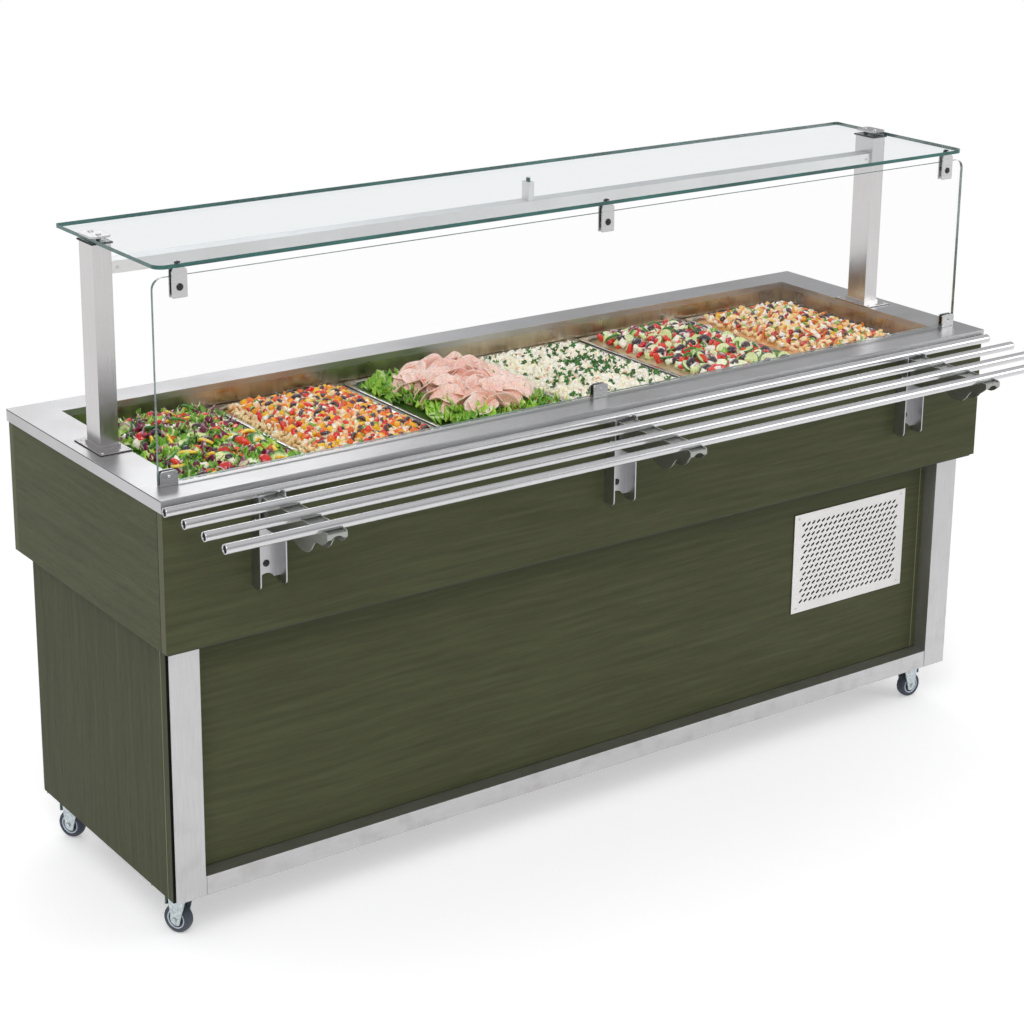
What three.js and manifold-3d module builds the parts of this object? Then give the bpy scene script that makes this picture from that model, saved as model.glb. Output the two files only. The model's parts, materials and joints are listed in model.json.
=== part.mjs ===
// Mobile salad bar: refrigerated well with six food pans, glass guard with a lamp beam,
// fold-down tray slide and four braked casters. Units mm, +Z up, customer side towards -Y.
import * as THREE from 'three';
import { mergeVertices } from 'three/addons/utils/BufferGeometryUtils.js';
import Module from 'manifold-3d';

const wasm = await Module();
wasm.setup();

// ---------------------------------------------------------------- driving dimensions
const LENGTH = 2200;
const DEPTH = 700;
const TOP_Z = 978;
const GAP = 0.3;

// counter top and well
const SKIN = 2;
const FASCIA_H = 26;
const WELL_END_MARGIN = 90;
const WELL_FRONT_MARGIN = 84;
const WELL_BACK_MARGIN = 78;
const WELL_LIP_H = 14;
const PAN_RIM_DROP = 50;
const PAN_COUNT = 6;
const PAN_END_ROOM = 5;
const PAN_SPACE_X = 10;
const PAN_SPACE_Y = 4;
const PAN_FLANGE = 10.5;
const PAN_RIM_T = 1.6;
const PAN_DEPTH = 100;
const PAN_WALL = 1.5;
const PAN_CORNER_R = 28;
const GRID_T = 6;
const LEDGE_W = 10;
const LINER_DEPTH = 237;
const LINER_WALL = 26;
const LINER_TOP_WALL = 16;
const DRAIN_R = 16;
const DRAIN_BORE_R = 12;
const DRAIN_LENGTH = 45;

// upper body
const UPPER_INSET = 3;
const UPPER_H = 314;
const BOARD = 20;

// lower body and frame
const LOWER_INSET_X = 22;
const LOWER_INSET_Y = 38;
const BASE_Z = 110;
const SIDE_BOARD = 18;
const POST_W = 66;
const POST_D = 40;
const POST_SKIN = 3;
const POST_EDGE_INSET = 3;
const POST_REBATE = 9;
const RAIL_H = 43;
const RAIL_T = 2.5;
const FRONT_BOARD = 16;
const TOP_RING_H = 30;
const TOP_RING_W = 34;
const TOP_LEDGE_INSET = 7;
const TOP_LEDGE_T = 5;
const WELD_STEP = 0.7;
const FLOOR_T = 2;
const FLOOR_RISE = 26;

// intake grille, set in the lower front panel
const GRILLE_END_GAP = 336;
const GRILLE_DROP = 204;
const GRILLE_W = 360;
const GRILLE_H = 248;
const GRILLE_T = 3;
const GRILLE_HOLE_MARGIN = 16;
const SLOT_COLUMNS = 17;
const SLOT_ROWS = 14;
const SLOT_PITCH_X = 18.6;
const SLOT_PITCH_Z = 15.6;
const SLOT_LONG = 12.5;
const SLOT_WIDE = 5;
const SLOT_SLANT = 35;

// refrigeration unit
const COMPRESSOR_SETOFF = 404;
const COMPRESSOR_Y = 20;
const COMPRESSOR_R = 88;
const COMPRESSOR_H = 190;
const COMPRESSOR_FOOT_H = 14;
const COMPRESSOR_FOOT_R = 13;
const COMPRESSOR_PLATE_T = 4;
const CONDENSER_W = 300;
const CONDENSER_H = 260;
const CONDENSER_T = 52;
const CONDENSER_SETBACK = 67;
const CONDENSER_SHEET = 3;
const CONDENSER_LEG = 20;
const CONDENSER_FINS = 20;
const CONDENSER_TUBE_R = 5;
const FIN_T = 1.2;
const FAN_R = 118;
const FAN_BLADES = 5;
const FAN_RIM_GAP = 6;
const FAN_RIM_T = 3;
const FAN_RIM_DEPTH = 44;
const FAN_HUB_R = 26;
const FAN_HUB_GAP = 8;
const FAN_HUB_DEPTH = 22;
const FAN_SHAFT_R = 4;
const FAN_BLADE_T = 2;
const FAN_BLADE_PITCH = 24;
const FAN_MOTOR_R = 34;
const FAN_MOTOR_GAP = 6;
const FAN_MOTOR_DEPTH = 52;
const FAN_STRUT_W = 10;
const FAN_STRUT_T = 4;

// glass guard
const GUARD_END_GAP = 58;
const GUARD_Y = 10;
const GUARD_W = 40;
const GUARD_D = 60;
const GUARD_WALL = 2.5;
const GUARD_LID_T = 8;
const GUARD_FOOT_REACH = 34;
const GUARD_FOOT_T = 3;
const COLLAR_W = 3;
const COLLAR_H = 10;
const GLASS_T = 8;
const GUARD_H = 424;
const TOP_GLASS_END_GAP = 40;
const TOP_GLASS_SETBACK = 65;
const TOP_GLASS_REAR_REACH = 139;
const GLASS_CORNER_R = 22;
const GLASS_PLAIN_R = 4;
const FRONT_GLASS_END_GAP = 34;
const FRONT_GLASS_SETBACK = 71;
const FRONT_GLASS_RISE = 6;
const FRONT_GLASS_DROP = 17;
const BEAM_H = 25;
const BEAM_D = 40;
const BEAM_DROP = 67;
const BEAM_WALL = 2;
const BEAM_SETBACK = 6;
const LAMP_END_GAP = 42;
const LAMP_HALF_W = 12;
const CAP_T = 4;
const STUD_R = 4;
const STUD_SPREAD = 17;

// glass clips
const TOP_CLIP_INSET = 31;
const LOW_CLIP_INSET = 20;
const LOW_CLIP_MIDDLE_X = -10;
const CLIP_T = 3;
const CLIP_W = 32;
const CLIP_DROP = 59;
const CLIP_BOLT_DROP = 38;
const CLIP_BOLT_R = 3.5;
const LOW_CLIP_W = 38;
const LOW_CLIP_H = 30;
const LOW_CLIP_BOLT_RISE = 20;

// tray slide
const TUBE_R = 10;
const TUBE_WALL = 1.5;
const TUBE_DROP = 19;
const TUBE_COUNT = 4;
const TUBE_OUT = 12;
const TUBE_TIP_GAP = 24;
const BRACKET_LEFT_GAP = 222;
const BRACKET_RIGHT_GAP = 252;
const BRACKET_MIDDLE_X = -15;
const CHANNEL_W = 60;
const CHANNEL_DEPTH = 33;
const CHANNEL_T = 3;
const CHANNEL_DROP = 213;
const CHANNEL_TOP_DROP = 20;
const CHANNEL_NOTCH_R = 20;
const CHANNEL_WEB_RISE = 12;
const CHANNEL_BOLT_RISE = 42;
const ARM_W = 44;
const ARM_T = 2.5;
const ARM_DROP = 24;
const ARM_WEB_DROP = 3;
const ARM_REACH = 268;
const ARM_HEEL_OUT = 28;
// Wavy lower edge of an arm's cheek: distance in from the tip, drop below its top edge. The distances
// are drawn for this reach and keep their share of another.
const ARM_EDGE_REACH = 268;
const ARM_EDGE = [
  [1.5, 1.5], [0, 5], [0, 13], [6, 19], [14, 25], [22, 28.5], [30, 29], [38, 28.5], [46, 32], [52, 39],
  [59, 49], [68, 56.5], [78, 59.5], [88, 60.5], [100, 59.5], [110, 56.5], [120, 51], [132, 48],
  [146, 50], [160, 54.5], [174, 57], [190, 58.5], [208, 59.2], [238, 59.6],
];
const PIN_OUT = 14;
const PIN_DROP = 74;
const PIN_R = 4;
const RUN_CLEAR = 0.08;
const RUN_SIDES = 24;
const HOLE_SIDES = 12;
const SADDLE_SIDES = 16;

// casters
const WHEEL_R = 31;
const WHEEL_W = 24;
const AXLE_R = 4;
const TRAIL = 8;
const FORK_T = 2.5;
const FORK_INNER = 13.4;
const CASTER_PLATE = 64;
const CASTER_PLATE_T = 3.3;
const CROWN_DROP = 9.3;
const CROWN_T = 2.5;
const KING_R = 5;
const KING_HEAD_R = 8;
const KING_HEAD_T = 2;
const PEDAL_PIN_X = 24;
const PEDAL_PIN_DROP = 2.7;
const PEDAL_PIN_R = 2;
const SHOE_REACH = 22.5;
const SHOE_T = 4.5;
const SHOE_CLEAR = 5.8;
const CASTER_END_GAP = 73;
const CASTER_FRONT_GAP = 114;
const CASTER_REAR_GAP = 88;

// controls on the staff side
const CONTROL_END_GAP = 460;
const CONTROL_DROP = 148;
const CONTROL_W = 220;
const CONTROL_H = 110;
const CONTROL_D = 26;
const SWITCH_SETOFF = 66;
const SWITCH_W = 26;
const SWITCH_H = 34;
const SWITCH_PIN_R = 1.6;
const LOUVRE_END_GAP = 600;
const LOUVRE_RISE = 106;
const LOUVRE_W = 210;
const LOUVRE_H = 10;
const LOUVRE_GAP = 14;
const LOUVRE_COUNT = 9;

// ---------------------------------------------------------------- values that follow
const HALF_L = LENGTH / 2;
const HALF_D = DEPTH / 2;
const WELL_X = HALF_L - WELL_END_MARGIN;
const WELL_Y0 = -HALF_D + WELL_FRONT_MARGIN;
const WELL_Y1 = HALF_D - WELL_BACK_MARGIN;
const WELL_YC = (WELL_Y0 + WELL_Y1) / 2;
const PAN_PITCH = (2 * (WELL_X - PAN_END_ROOM)) / PAN_COUNT;
const PAN_RIM_W = PAN_PITCH - PAN_SPACE_X;
const PAN_RIM_D = WELL_Y1 - WELL_Y0 - 2 * PAN_SPACE_Y;
const PAN_BODY_W = PAN_RIM_W - 2 * PAN_FLANGE;
const PAN_BODY_D = PAN_RIM_D - 2 * PAN_FLANGE;
const RIM_TOP = TOP_Z - PAN_RIM_DROP;
const GRID_TOP = RIM_TOP - PAN_RIM_T - GAP;
const LEDGE_Z = GRID_TOP - GRID_T - GAP;
const LINER_FLOOR_Z = TOP_Z - LINER_DEPTH;
const UPPER_X = HALF_L - UPPER_INSET;
const UPPER_Y = HALF_D - UPPER_INSET;
const UPPER_TOP = TOP_Z - SKIN - GAP;
const UPPER_BOTTOM_Z = TOP_Z - UPPER_H;
const LOWER_X = HALF_L - LOWER_INSET_X;
const LOWER_Y = HALF_D - LOWER_INSET_Y;
const LOWER_TOP = UPPER_BOTTOM_Z - GAP;
const POST_X1 = LOWER_X - POST_EDGE_INSET;
const POST_X0 = POST_X1 - POST_W;
const POST_Y0 = LOWER_Y - POST_D;
const POST_BODY_X = LOWER_X - SIDE_BOARD - GAP;
const GRILLE_X = HALF_L - GRILLE_END_GAP;
const GRILLE_Z = UPPER_BOTTOM_Z - GRILLE_DROP;
const COMPRESSOR_X = GRILLE_X - COMPRESSOR_SETOFF;
const CONDENSER_Y = -POST_Y0 + CONDENSER_SETBACK;
const GUARD_X = HALF_L - GUARD_END_GAP;
const TOP_GLASS_Z = TOP_Z + GUARD_H;
const TOP_GLASS_TOP = TOP_GLASS_Z + GLASS_T;
const TOP_GLASS_X = HALF_L - TOP_GLASS_END_GAP;
const TOP_GLASS_FRONT = -HALF_D + TOP_GLASS_SETBACK;
const TOP_GLASS_BACK = GUARD_Y + TOP_GLASS_REAR_REACH;
const FRONT_GLASS_X = HALF_L - FRONT_GLASS_END_GAP;
const FRONT_GLASS_Y = -HALF_D + FRONT_GLASS_SETBACK;
const FRONT_GLASS_BOTTOM = TOP_Z + FRONT_GLASS_RISE;
const FRONT_GLASS_TOP = TOP_GLASS_Z - FRONT_GLASS_DROP;
const GLASS_INNER_Y = FRONT_GLASS_Y + GLASS_T;
const GUARD_TOP = TOP_GLASS_Z - GAP;
const BEAM_Z = TOP_GLASS_Z - BEAM_DROP;
const BEAM_YC = GUARD_Y - GUARD_D / 2 + BEAM_SETBACK + BEAM_D / 2;
const LAMP_X = GUARD_X - LAMP_END_GAP;
const TOP_CLIP_END = GUARD_X - TOP_CLIP_INSET;
const TOP_CLIP_X = [-TOP_CLIP_END, 0, TOP_CLIP_END];
const LOW_CLIP_END = FRONT_GLASS_X - LOW_CLIP_INSET;
const LOW_CLIP_X = [-LOW_CLIP_END, LOW_CLIP_MIDDLE_X, LOW_CLIP_END];
const CLIP_BOTTOM_Z = TOP_GLASS_Z - CLIP_DROP;
const CLIP_BOLT_Z = TOP_GLASS_Z - CLIP_BOLT_DROP;
const CLIP_STEM_Y = GLASS_INNER_Y;
const TUBE_Z = TOP_Z - TUBE_DROP;
const TUBE_PITCH = (ARM_REACH - TUBE_OUT - TUBE_TIP_GAP) / (TUBE_COUNT - 1);
const TUBE_Y = Array.from({ length: TUBE_COUNT }, (_, i) => -HALF_D - TUBE_OUT - i * TUBE_PITCH);
const BRACKET_X = [-HALF_L + BRACKET_LEFT_GAP, BRACKET_MIDDLE_X, HALF_L - BRACKET_RIGHT_GAP];
const CHANNEL_BOTTOM_Z = TOP_Z - CHANNEL_DROP;
const CHANNEL_TOP_Z = TOP_Z - CHANNEL_TOP_DROP;
const ARM_TOP_Z = TOP_Z - ARM_DROP;
const ARM_WEB_Z = ARM_TOP_Z - ARM_WEB_DROP;
const ARM_TIP_Y = -HALF_D - ARM_REACH;
const ARM_HEEL_Y = -HALF_D - ARM_HEEL_OUT;
const PIN_Y = -HALF_D - PIN_OUT;
const PIN_Z = TOP_Z - PIN_DROP;
const CONTROL_X = HALF_L - CONTROL_END_GAP;
const CONTROL_Y = POST_Y0 + GAP;
const CONTROL_Z = UPPER_BOTTOM_Z - CONTROL_DROP;
const SWITCH_X = CONTROL_X + SWITCH_SETOFF;
const LOUVRE_X = HALF_L - LOUVRE_END_GAP;
const LOUVRE_STEP = LOUVRE_H + LOUVRE_GAP;
const FLOOR_Z = BASE_Z + FLOOR_RISE;
const LOUVRE_Z = BASE_Z + LOUVRE_RISE;
const CROWN_Z = BASE_Z - CROWN_DROP;
const PEDAL_PIN_Z = CROWN_Z - PEDAL_PIN_DROP;
const KING_HEAD_Z = CROWN_Z - GAP - KING_HEAD_T;
const CASTER_X = HALF_L - CASTER_END_GAP;
const CASTER_FRONT_Y = -HALF_D + CASTER_FRONT_GAP;
const CASTER_REAR_Y = HALF_D - CASTER_REAR_GAP;
const CASTERS = [
  { name: 'caster_front_left', x: -CASTER_X, y: CASTER_FRONT_Y, turn: 116 },
  { name: 'caster_rear_left', x: -CASTER_X, y: CASTER_REAR_Y, turn: 116 },
  { name: 'caster_front_right', x: CASTER_X, y: CASTER_FRONT_Y, turn: 0 },
  { name: 'caster_rear_right', x: CASTER_X, y: CASTER_REAR_Y, turn: 24 },
];
const ORIGIN_Y = (ARM_TIP_Y + HALF_D) / 2;

// ---------------------------------------------------------------- shape helpers
function toSolid(geometry) {
  const bare = geometry.clone();
  bare.deleteAttribute('normal');
  bare.deleteAttribute('uv');
  const welded = mergeVertices(bare, 1e-4);
  return new wasm.Manifold(new wasm.Mesh({
    numProp: 3,
    vertProperties: new Float32Array(welded.attributes.position.array),
    triVerts: new Uint32Array(welded.index.array),
  }));
}

function toGeometry(solid) {
  const mesh = solid.getMesh();
  const geometry = new THREE.BufferGeometry();
  geometry.setAttribute('position', new THREE.BufferAttribute(new Float32Array(mesh.vertProperties), 3));
  geometry.setIndex(new THREE.BufferAttribute(new Uint32Array(mesh.triVerts), 1));
  const flat = geometry.toNonIndexed();
  flat.computeVertexNormals();
  return flat;
}

function box(x0, x1, y0, y1, z0, z1) {
  const geometry = new THREE.BoxGeometry(x1 - x0, y1 - y0, z1 - z0);
  geometry.translate((x0 + x1) / 2, (y0 + y1) / 2, (z0 + z1) / 2);
  return toSolid(geometry);
}

// Outline points are (y, z) for axis x, (x, z) for axis y and (x, y) for axis z.
function prism(axis, outline, from, to) {
  const points = outline.map(([a, b]) => (axis === 'y' ? new THREE.Vector2(b, a) : new THREE.Vector2(a, b)));
  const geometry = new THREE.ExtrudeGeometry(new THREE.Shape(points), {
    depth: to - from,
    bevelEnabled: false,
    curveSegments: 1,
  });
  geometry.translate(0, 0, from);
  const matrix = new THREE.Matrix4();
  if (axis === 'x') {
    matrix.makeBasis(new THREE.Vector3(0, 1, 0), new THREE.Vector3(0, 0, 1), new THREE.Vector3(1, 0, 0));
  }
  if (axis === 'y') {
    matrix.makeBasis(new THREE.Vector3(0, 0, 1), new THREE.Vector3(1, 0, 0), new THREE.Vector3(0, 1, 0));
  }
  geometry.applyMatrix4(matrix);
  return toSolid(geometry);
}

function circle(cx, cy, r, sides = RUN_SIDES) {
  const points = [];
  for (let i = 0; i < sides; i += 1) {
    const angle = (2 * Math.PI * i) / sides;
    points.push([cx + r * Math.cos(angle), cy + r * Math.sin(angle)]);
  }
  return points;
}

function rod(axis, cx, cy, r, from, to, sides = RUN_SIDES) {
  return prism(axis, circle(cx, cy, r, sides), from, to);
}

// Rounded rectangle; radii run anticlockwise from the low-low corner.
function rounded(x0, x1, y0, y1, radii, steps = 6) {
  const [r0, r1, r2, r3] = Array.isArray(radii) ? radii : [radii, radii, radii, radii];
  const corners = [
    [x0 + r0, y0 + r0, r0, Math.PI],
    [x1 - r1, y0 + r1, r1, 1.5 * Math.PI],
    [x1 - r2, y1 - r2, r2, 0],
    [x0 + r3, y1 - r3, r3, 0.5 * Math.PI],
  ];
  const points = [];
  for (const [cx, cy, r, start] of corners) {
    const count = r > 0 ? steps : 0;
    for (let i = 0; i <= count; i += 1) {
      const angle = start + (count ? (0.5 * Math.PI * i) / count : 0);
      points.push([cx + r * Math.cos(angle), cy + r * Math.sin(angle)]);
    }
  }
  return points;
}

function join(parts) {
  return parts.reduce((sum, part) => sum.add(part));
}

function cut(body, tools) {
  return tools.reduce((rest, tool) => rest.subtract(tool), body);
}

function lathe(profile, sides = RUN_SIDES) {
  const points = profile.map(([r, z]) => new THREE.Vector2(r, z));
  const geometry = new THREE.LatheGeometry(points, sides);
  geometry.rotateX(Math.PI / 2);
  return toSolid(geometry);
}

const SLOTS = {
  stainless: { color: 0xc6c4c5, roughness: 0.32, metalness: 0.9 },
  steel_top: { color: 0xb0b0b2, roughness: 0.35, metalness: 0.9 },
  tub: { color: 0xb0b0b0, roughness: 0.35, metalness: 0.9 },
  bright_steel: { color: 0xd4d4d6, roughness: 0.2, metalness: 0.95 },
  laminate: { color: 0x4c4d3a, roughness: 0.55, metalness: 0 },
  glass: { color: 0xd9ece8, roughness: 0.05, metalness: 0, opacity: 0.3, transparent: true },
  zinc: { color: 0xccd6d8, roughness: 0.35, metalness: 0.8 },
  tyre: { color: 0x3c4450, roughness: 0.6, metalness: 0 },
  pedal: { color: 0x46605f, roughness: 0.5, metalness: 0.4 },
  black: { color: 0x1b1c1e, roughness: 0.5, metalness: 0 },
  painted: { color: 0x26282b, roughness: 0.6, metalness: 0.2 },
  aluminium: { color: 0xb8bcc0, roughness: 0.45, metalness: 0.9 },
  diffuser: { color: 0xf4f2ea, roughness: 0.4, metalness: 0 },
};

const group = new THREE.Group();
group.name = 'mobile_salad_bar';

function place(name, slot, solid) {
  const geometry = toGeometry(solid);
  geometry.translate(0, -ORIGIN_Y, 0);
  const mesh = new THREE.Mesh(geometry, new THREE.MeshStandardMaterial(SLOTS[slot]));
  mesh.name = name;
  mesh.material.name = slot;
  group.add(mesh);
}

// ---------------------------------------------------------------- counter top and well
function counterTop() {
  const outer = box(-HALF_L, HALF_L, -HALF_D, HALF_D, TOP_Z - FASCIA_H, TOP_Z);
  const under = box(
    -HALF_L + SKIN, HALF_L - SKIN, -HALF_D + SKIN, HALF_D - SKIN, TOP_Z - FASCIA_H - 1, TOP_Z - SKIN,
  );
  const lip = box(
    -WELL_X - SKIN, WELL_X + SKIN, WELL_Y0 - SKIN, WELL_Y1 + SKIN, TOP_Z - WELL_LIP_H, TOP_Z - SKIN / 2,
  );
  const well = box(-WELL_X, WELL_X, WELL_Y0, WELL_Y1, TOP_Z - FASCIA_H - 1, TOP_Z + 1);
  return cut(join([cut(outer, [under]), lip]), [well]);
}

function wellLiner() {
  const top = TOP_Z - WELL_LIP_H - GAP;
  const flangeX = WELL_X + SKIN + GAP;
  const outerX = WELL_X + LINER_TOP_WALL;
  const outerY0 = WELL_Y0 - LINER_TOP_WALL;
  const outerY1 = WELL_Y1 + LINER_TOP_WALL;
  const tub = box(-outerX, outerX, outerY0, outerY1, LINER_FLOOR_Z - LINER_WALL, top);
  const hookX = box(-outerX, outerX, outerY0, outerY1, top - 1, UPPER_TOP);
  const hookCore = box(
    -flangeX, flangeX, WELL_Y0 - SKIN - GAP, WELL_Y1 + SKIN + GAP, top - 0.5, UPPER_TOP + 1,
  );
  const upper = box(-WELL_X, WELL_X, WELL_Y0, WELL_Y1, LEDGE_Z, TOP_Z);
  const lower = box(
    -WELL_X + LEDGE_W, WELL_X - LEDGE_W, WELL_Y0 + LEDGE_W, WELL_Y1 - LEDGE_W, LINER_FLOOR_Z, TOP_Z,
  );
  const spoutEnd = LINER_FLOOR_Z - LINER_WALL - DRAIN_LENGTH;
  const spout = rod('z', 0, WELL_YC, DRAIN_R, spoutEnd, LINER_FLOOR_Z - 1, 24);
  const bore = rod('z', 0, WELL_YC, DRAIN_BORE_R, spoutEnd - 1, LINER_FLOOR_Z + 1, 24);
  const shell = cut(join([tub, cut(hookX, [hookCore])]), [upper, lower]);
  return cut(join([shell, spout]), [bore]);
}

function supportGrid() {
  const x = WELL_X - 1;
  const plate = box(-x, x, WELL_Y0 + 1, WELL_Y1 - 1, GRID_TOP - GRID_T, GRID_TOP);
  const holes = [];
  for (let i = 0; i < PAN_COUNT; i += 1) {
    const cx = panX(i);
    holes.push(box(
      cx - PAN_BODY_W / 2 - 3, cx + PAN_BODY_W / 2 + 3,
      WELL_YC - PAN_BODY_D / 2 - 2, WELL_YC + PAN_BODY_D / 2 + 2,
      GRID_TOP - GRID_T - 1, GRID_TOP + 1,
    ));
  }
  return cut(plate, holes);
}

function panX(index) {
  return (index - (PAN_COUNT - 1) / 2) * PAN_PITCH;
}

function pan(index) {
  const cx = panX(index);
  const rimBase = RIM_TOP - PAN_RIM_T;
  const floor = RIM_TOP - PAN_DEPTH;
  const rim = prism('z', rounded(
    cx - PAN_RIM_W / 2, cx + PAN_RIM_W / 2, WELL_YC - PAN_RIM_D / 2, WELL_YC + PAN_RIM_D / 2, 16, 4,
  ), rimBase, RIM_TOP);
  const hw = PAN_BODY_W / 2;
  const hd = PAN_BODY_D / 2;
  const body = prism(
    'z', rounded(cx - hw, cx + hw, WELL_YC - hd, WELL_YC + hd, PAN_CORNER_R, 5), floor, RIM_TOP,
  );
  const bowl = prism('z', rounded(
    cx - hw + PAN_WALL, cx + hw - PAN_WALL, WELL_YC - hd + PAN_WALL, WELL_YC + hd - PAN_WALL,
    PAN_CORNER_R - PAN_WALL, 5,
  ), floor + PAN_WALL, RIM_TOP + 1);
  return cut(join([rim, body]), [bowl]);
}

place('counter_top', 'steel_top', counterTop());
place('well_liner', 'tub', wellLiner());
place('pan_support_grid', 'stainless', supportGrid());
for (let i = 0; i < PAN_COUNT; i += 1) {
  place(`pan_${i + 1}`, 'stainless', pan(i));
}

// ---------------------------------------------------------------- upper body
const upperInnerY = UPPER_Y - BOARD - GAP;
place('upper_panel_front', 'laminate',
  box(-UPPER_X, UPPER_X, -UPPER_Y, -UPPER_Y + BOARD, UPPER_BOTTOM_Z, UPPER_TOP));
place('upper_panel_rear', 'laminate',
  box(-UPPER_X, UPPER_X, UPPER_Y - BOARD, UPPER_Y, UPPER_BOTTOM_Z, UPPER_TOP));
place('upper_panel_left', 'laminate',
  box(-UPPER_X, -UPPER_X + BOARD, -upperInnerY, upperInnerY, UPPER_BOTTOM_Z, UPPER_TOP));
place('upper_panel_right', 'laminate',
  box(UPPER_X - BOARD, UPPER_X, -upperInnerY, upperInnerY, UPPER_BOTTOM_Z, UPPER_TOP));

// ---------------------------------------------------------------- frame and lower body
// Corner post with a rebate at its outer side for the end of the side board.
function framePost(sx, sy) {
  const outline = [
    [POST_X1, LOWER_Y], [POST_X0, LOWER_Y], [POST_X0, POST_Y0], [POST_BODY_X, POST_Y0],
    [POST_BODY_X, LOWER_Y - POST_SKIN], [POST_X1, LOWER_Y - POST_SKIN],
  ].map(([x, y]) => [x * sx, y * sy]);
  const core = [
    [POST_X0 + RAIL_T, LOWER_Y - POST_SKIN], [POST_BODY_X - RAIL_T, LOWER_Y - POST_SKIN],
    [POST_BODY_X - RAIL_T, POST_Y0 + RAIL_T], [POST_X0 + RAIL_T, POST_Y0 + RAIL_T],
  ].map(([x, y]) => [x * sx, y * sy]);
  return cut(prism('z', outline, BASE_Z, LOWER_TOP - TOP_LEDGE_T), [prism('z', core, BASE_Z - 1, LOWER_TOP)]);
}

// Rail folded to an upside-down U.
function foldedRail(x0, x1, y0, y1, z0, z1, along) {
  const outer = box(x0, x1, y0, y1, z0, z1);
  const trim = along === 'x'
    ? box(x0 - 1, x1 + 1, y0 + RAIL_T, y1 - RAIL_T, z0 - 1, z1 - RAIL_T)
    : box(x0 + RAIL_T, x1 - RAIL_T, y0 - 1, y1 + 1, z0 - 1, z1 - RAIL_T);
  return cut(outer, [trim]);
}

function baseFrame() {
  const parts = [];
  const railX = POST_BODY_X - TOP_RING_W;
  const ringY = POST_Y0 - FRONT_BOARD - GAP;
  const innerY = ringY - TOP_RING_W;
  for (const sx of [-1, 1]) {
    for (const sy of [-1, 1]) {
      parts.push(framePost(sx, sy));
    }
  }
  for (const sy of [-1, 1]) {
    const [y0, y1] = [sy * LOWER_Y, sy * (POST_Y0 + WELD_STEP)].sort((a, b) => a - b);
    parts.push(foldedRail(-POST_X0 - 1, POST_X0 + 1, y0, y1, BASE_Z + WELD_STEP, BASE_Z + RAIL_H, 'x'));
    const [r0, r1] = [sy * ringY, sy * innerY].sort((a, b) => a - b);
    parts.push(foldedRail(
      -railX - 1, railX + 1, r0, r1, LOWER_TOP - TOP_RING_H, LOWER_TOP - TOP_LEDGE_T + 1, 'x',
    ));
  }
  for (const sx of [-1, 1]) {
    const [x0, x1] = [sx * railX, sx * (POST_BODY_X - WELD_STEP)].sort((a, b) => a - b);
    parts.push(foldedRail(
      x0, x1, -POST_Y0 - 1, POST_Y0 + 1, BASE_Z + 2 * WELD_STEP, BASE_Z + RAIL_H - WELD_STEP, 'y',
    ));
    parts.push(foldedRail(
      x0, x1, -POST_Y0 - 1, POST_Y0 + 1, LOWER_TOP - TOP_RING_H, LOWER_TOP - TOP_LEDGE_T + 1, 'y',
    ));
  }
  const ledgeX = UPPER_X - TOP_LEDGE_INSET;
  const ledgeY = UPPER_Y - TOP_LEDGE_INSET;
  const ledge = cut(
    box(-ledgeX, ledgeX, -ledgeY, ledgeY, LOWER_TOP - TOP_LEDGE_T, LOWER_TOP),
    [box(-railX, railX, -innerY, innerY, LOWER_TOP - TOP_LEDGE_T - 1, LOWER_TOP + 1)],
  );
  parts.push(ledge);
  parts.push(box(-railX - 1, railX + 1, -POST_Y0 - 1, POST_Y0 + 1, FLOOR_Z, FLOOR_Z + FLOOR_T));
  for (const spot of CASTERS) {
    const half = CASTER_PLATE / 2;
    parts.push(box(
      spot.x - half, spot.x + half, spot.y - half, spot.y + half, BASE_Z - CASTER_PLATE_T, BASE_Z + RAIL_T,
    ));
    parts.push(rod('z', spot.x, spot.y, KING_R, KING_HEAD_Z, BASE_Z));
    parts.push(rod('z', spot.x, spot.y, KING_HEAD_R, KING_HEAD_Z, KING_HEAD_Z + KING_HEAD_T, HOLE_SIDES));
  }
  const body = join(parts);
  // Narrow shadow groove where each front and rear rail meets its posts.
  const grooves = [];
  for (const sx of [-1, 1]) {
    for (const sy of [-1, 1]) {
      const x = sx * (POST_X0 - 1.5);
      const y = sy * LOWER_Y;
      grooves.push(box(x - 1.5, x + 1.5, y - 1.5, y + 1.5, BASE_Z - 1, BASE_Z + RAIL_H + 1));
    }
  }
  return cut(body, grooves);
}

place('base_frame', 'stainless', baseFrame());

const frontBoardX = POST_BODY_X - TOP_RING_W - GAP;
const boardBottom = BASE_Z + RAIL_H + GAP;
const boardTop = LOWER_TOP - TOP_LEDGE_T - GAP;

function lowerFront() {
  const board = box(
    -frontBoardX, frontBoardX, -POST_Y0 + GAP, -POST_Y0 + GAP + FRONT_BOARD, boardBottom, boardTop,
  );
  const w = GRILLE_W / 2 - GRILLE_HOLE_MARGIN;
  const h = GRILLE_H / 2 - GRILLE_HOLE_MARGIN;
  const opening = box(
    GRILLE_X - w, GRILLE_X + w, -POST_Y0 - 1, -POST_Y0 + FRONT_BOARD + 2, GRILLE_Z - h, GRILLE_Z + h,
  );
  return cut(board, [opening]);
}

function lowerRear() {
  const y1 = POST_Y0 - GAP;
  const board = box(-frontBoardX, frontBoardX, y1 - FRONT_BOARD, y1, boardBottom, boardTop);
  const louvres = [];
  for (let i = 0; i < LOUVRE_COUNT; i += 1) {
    const z = LOUVRE_Z + i * LOUVRE_STEP;
    louvres.push(box(
      LOUVRE_X - LOUVRE_W / 2, LOUVRE_X + LOUVRE_W / 2, y1 - FRONT_BOARD - 1, y1 + 1, z, z + LOUVRE_H,
    ));
  }
  return cut(board, louvres);
}

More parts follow.
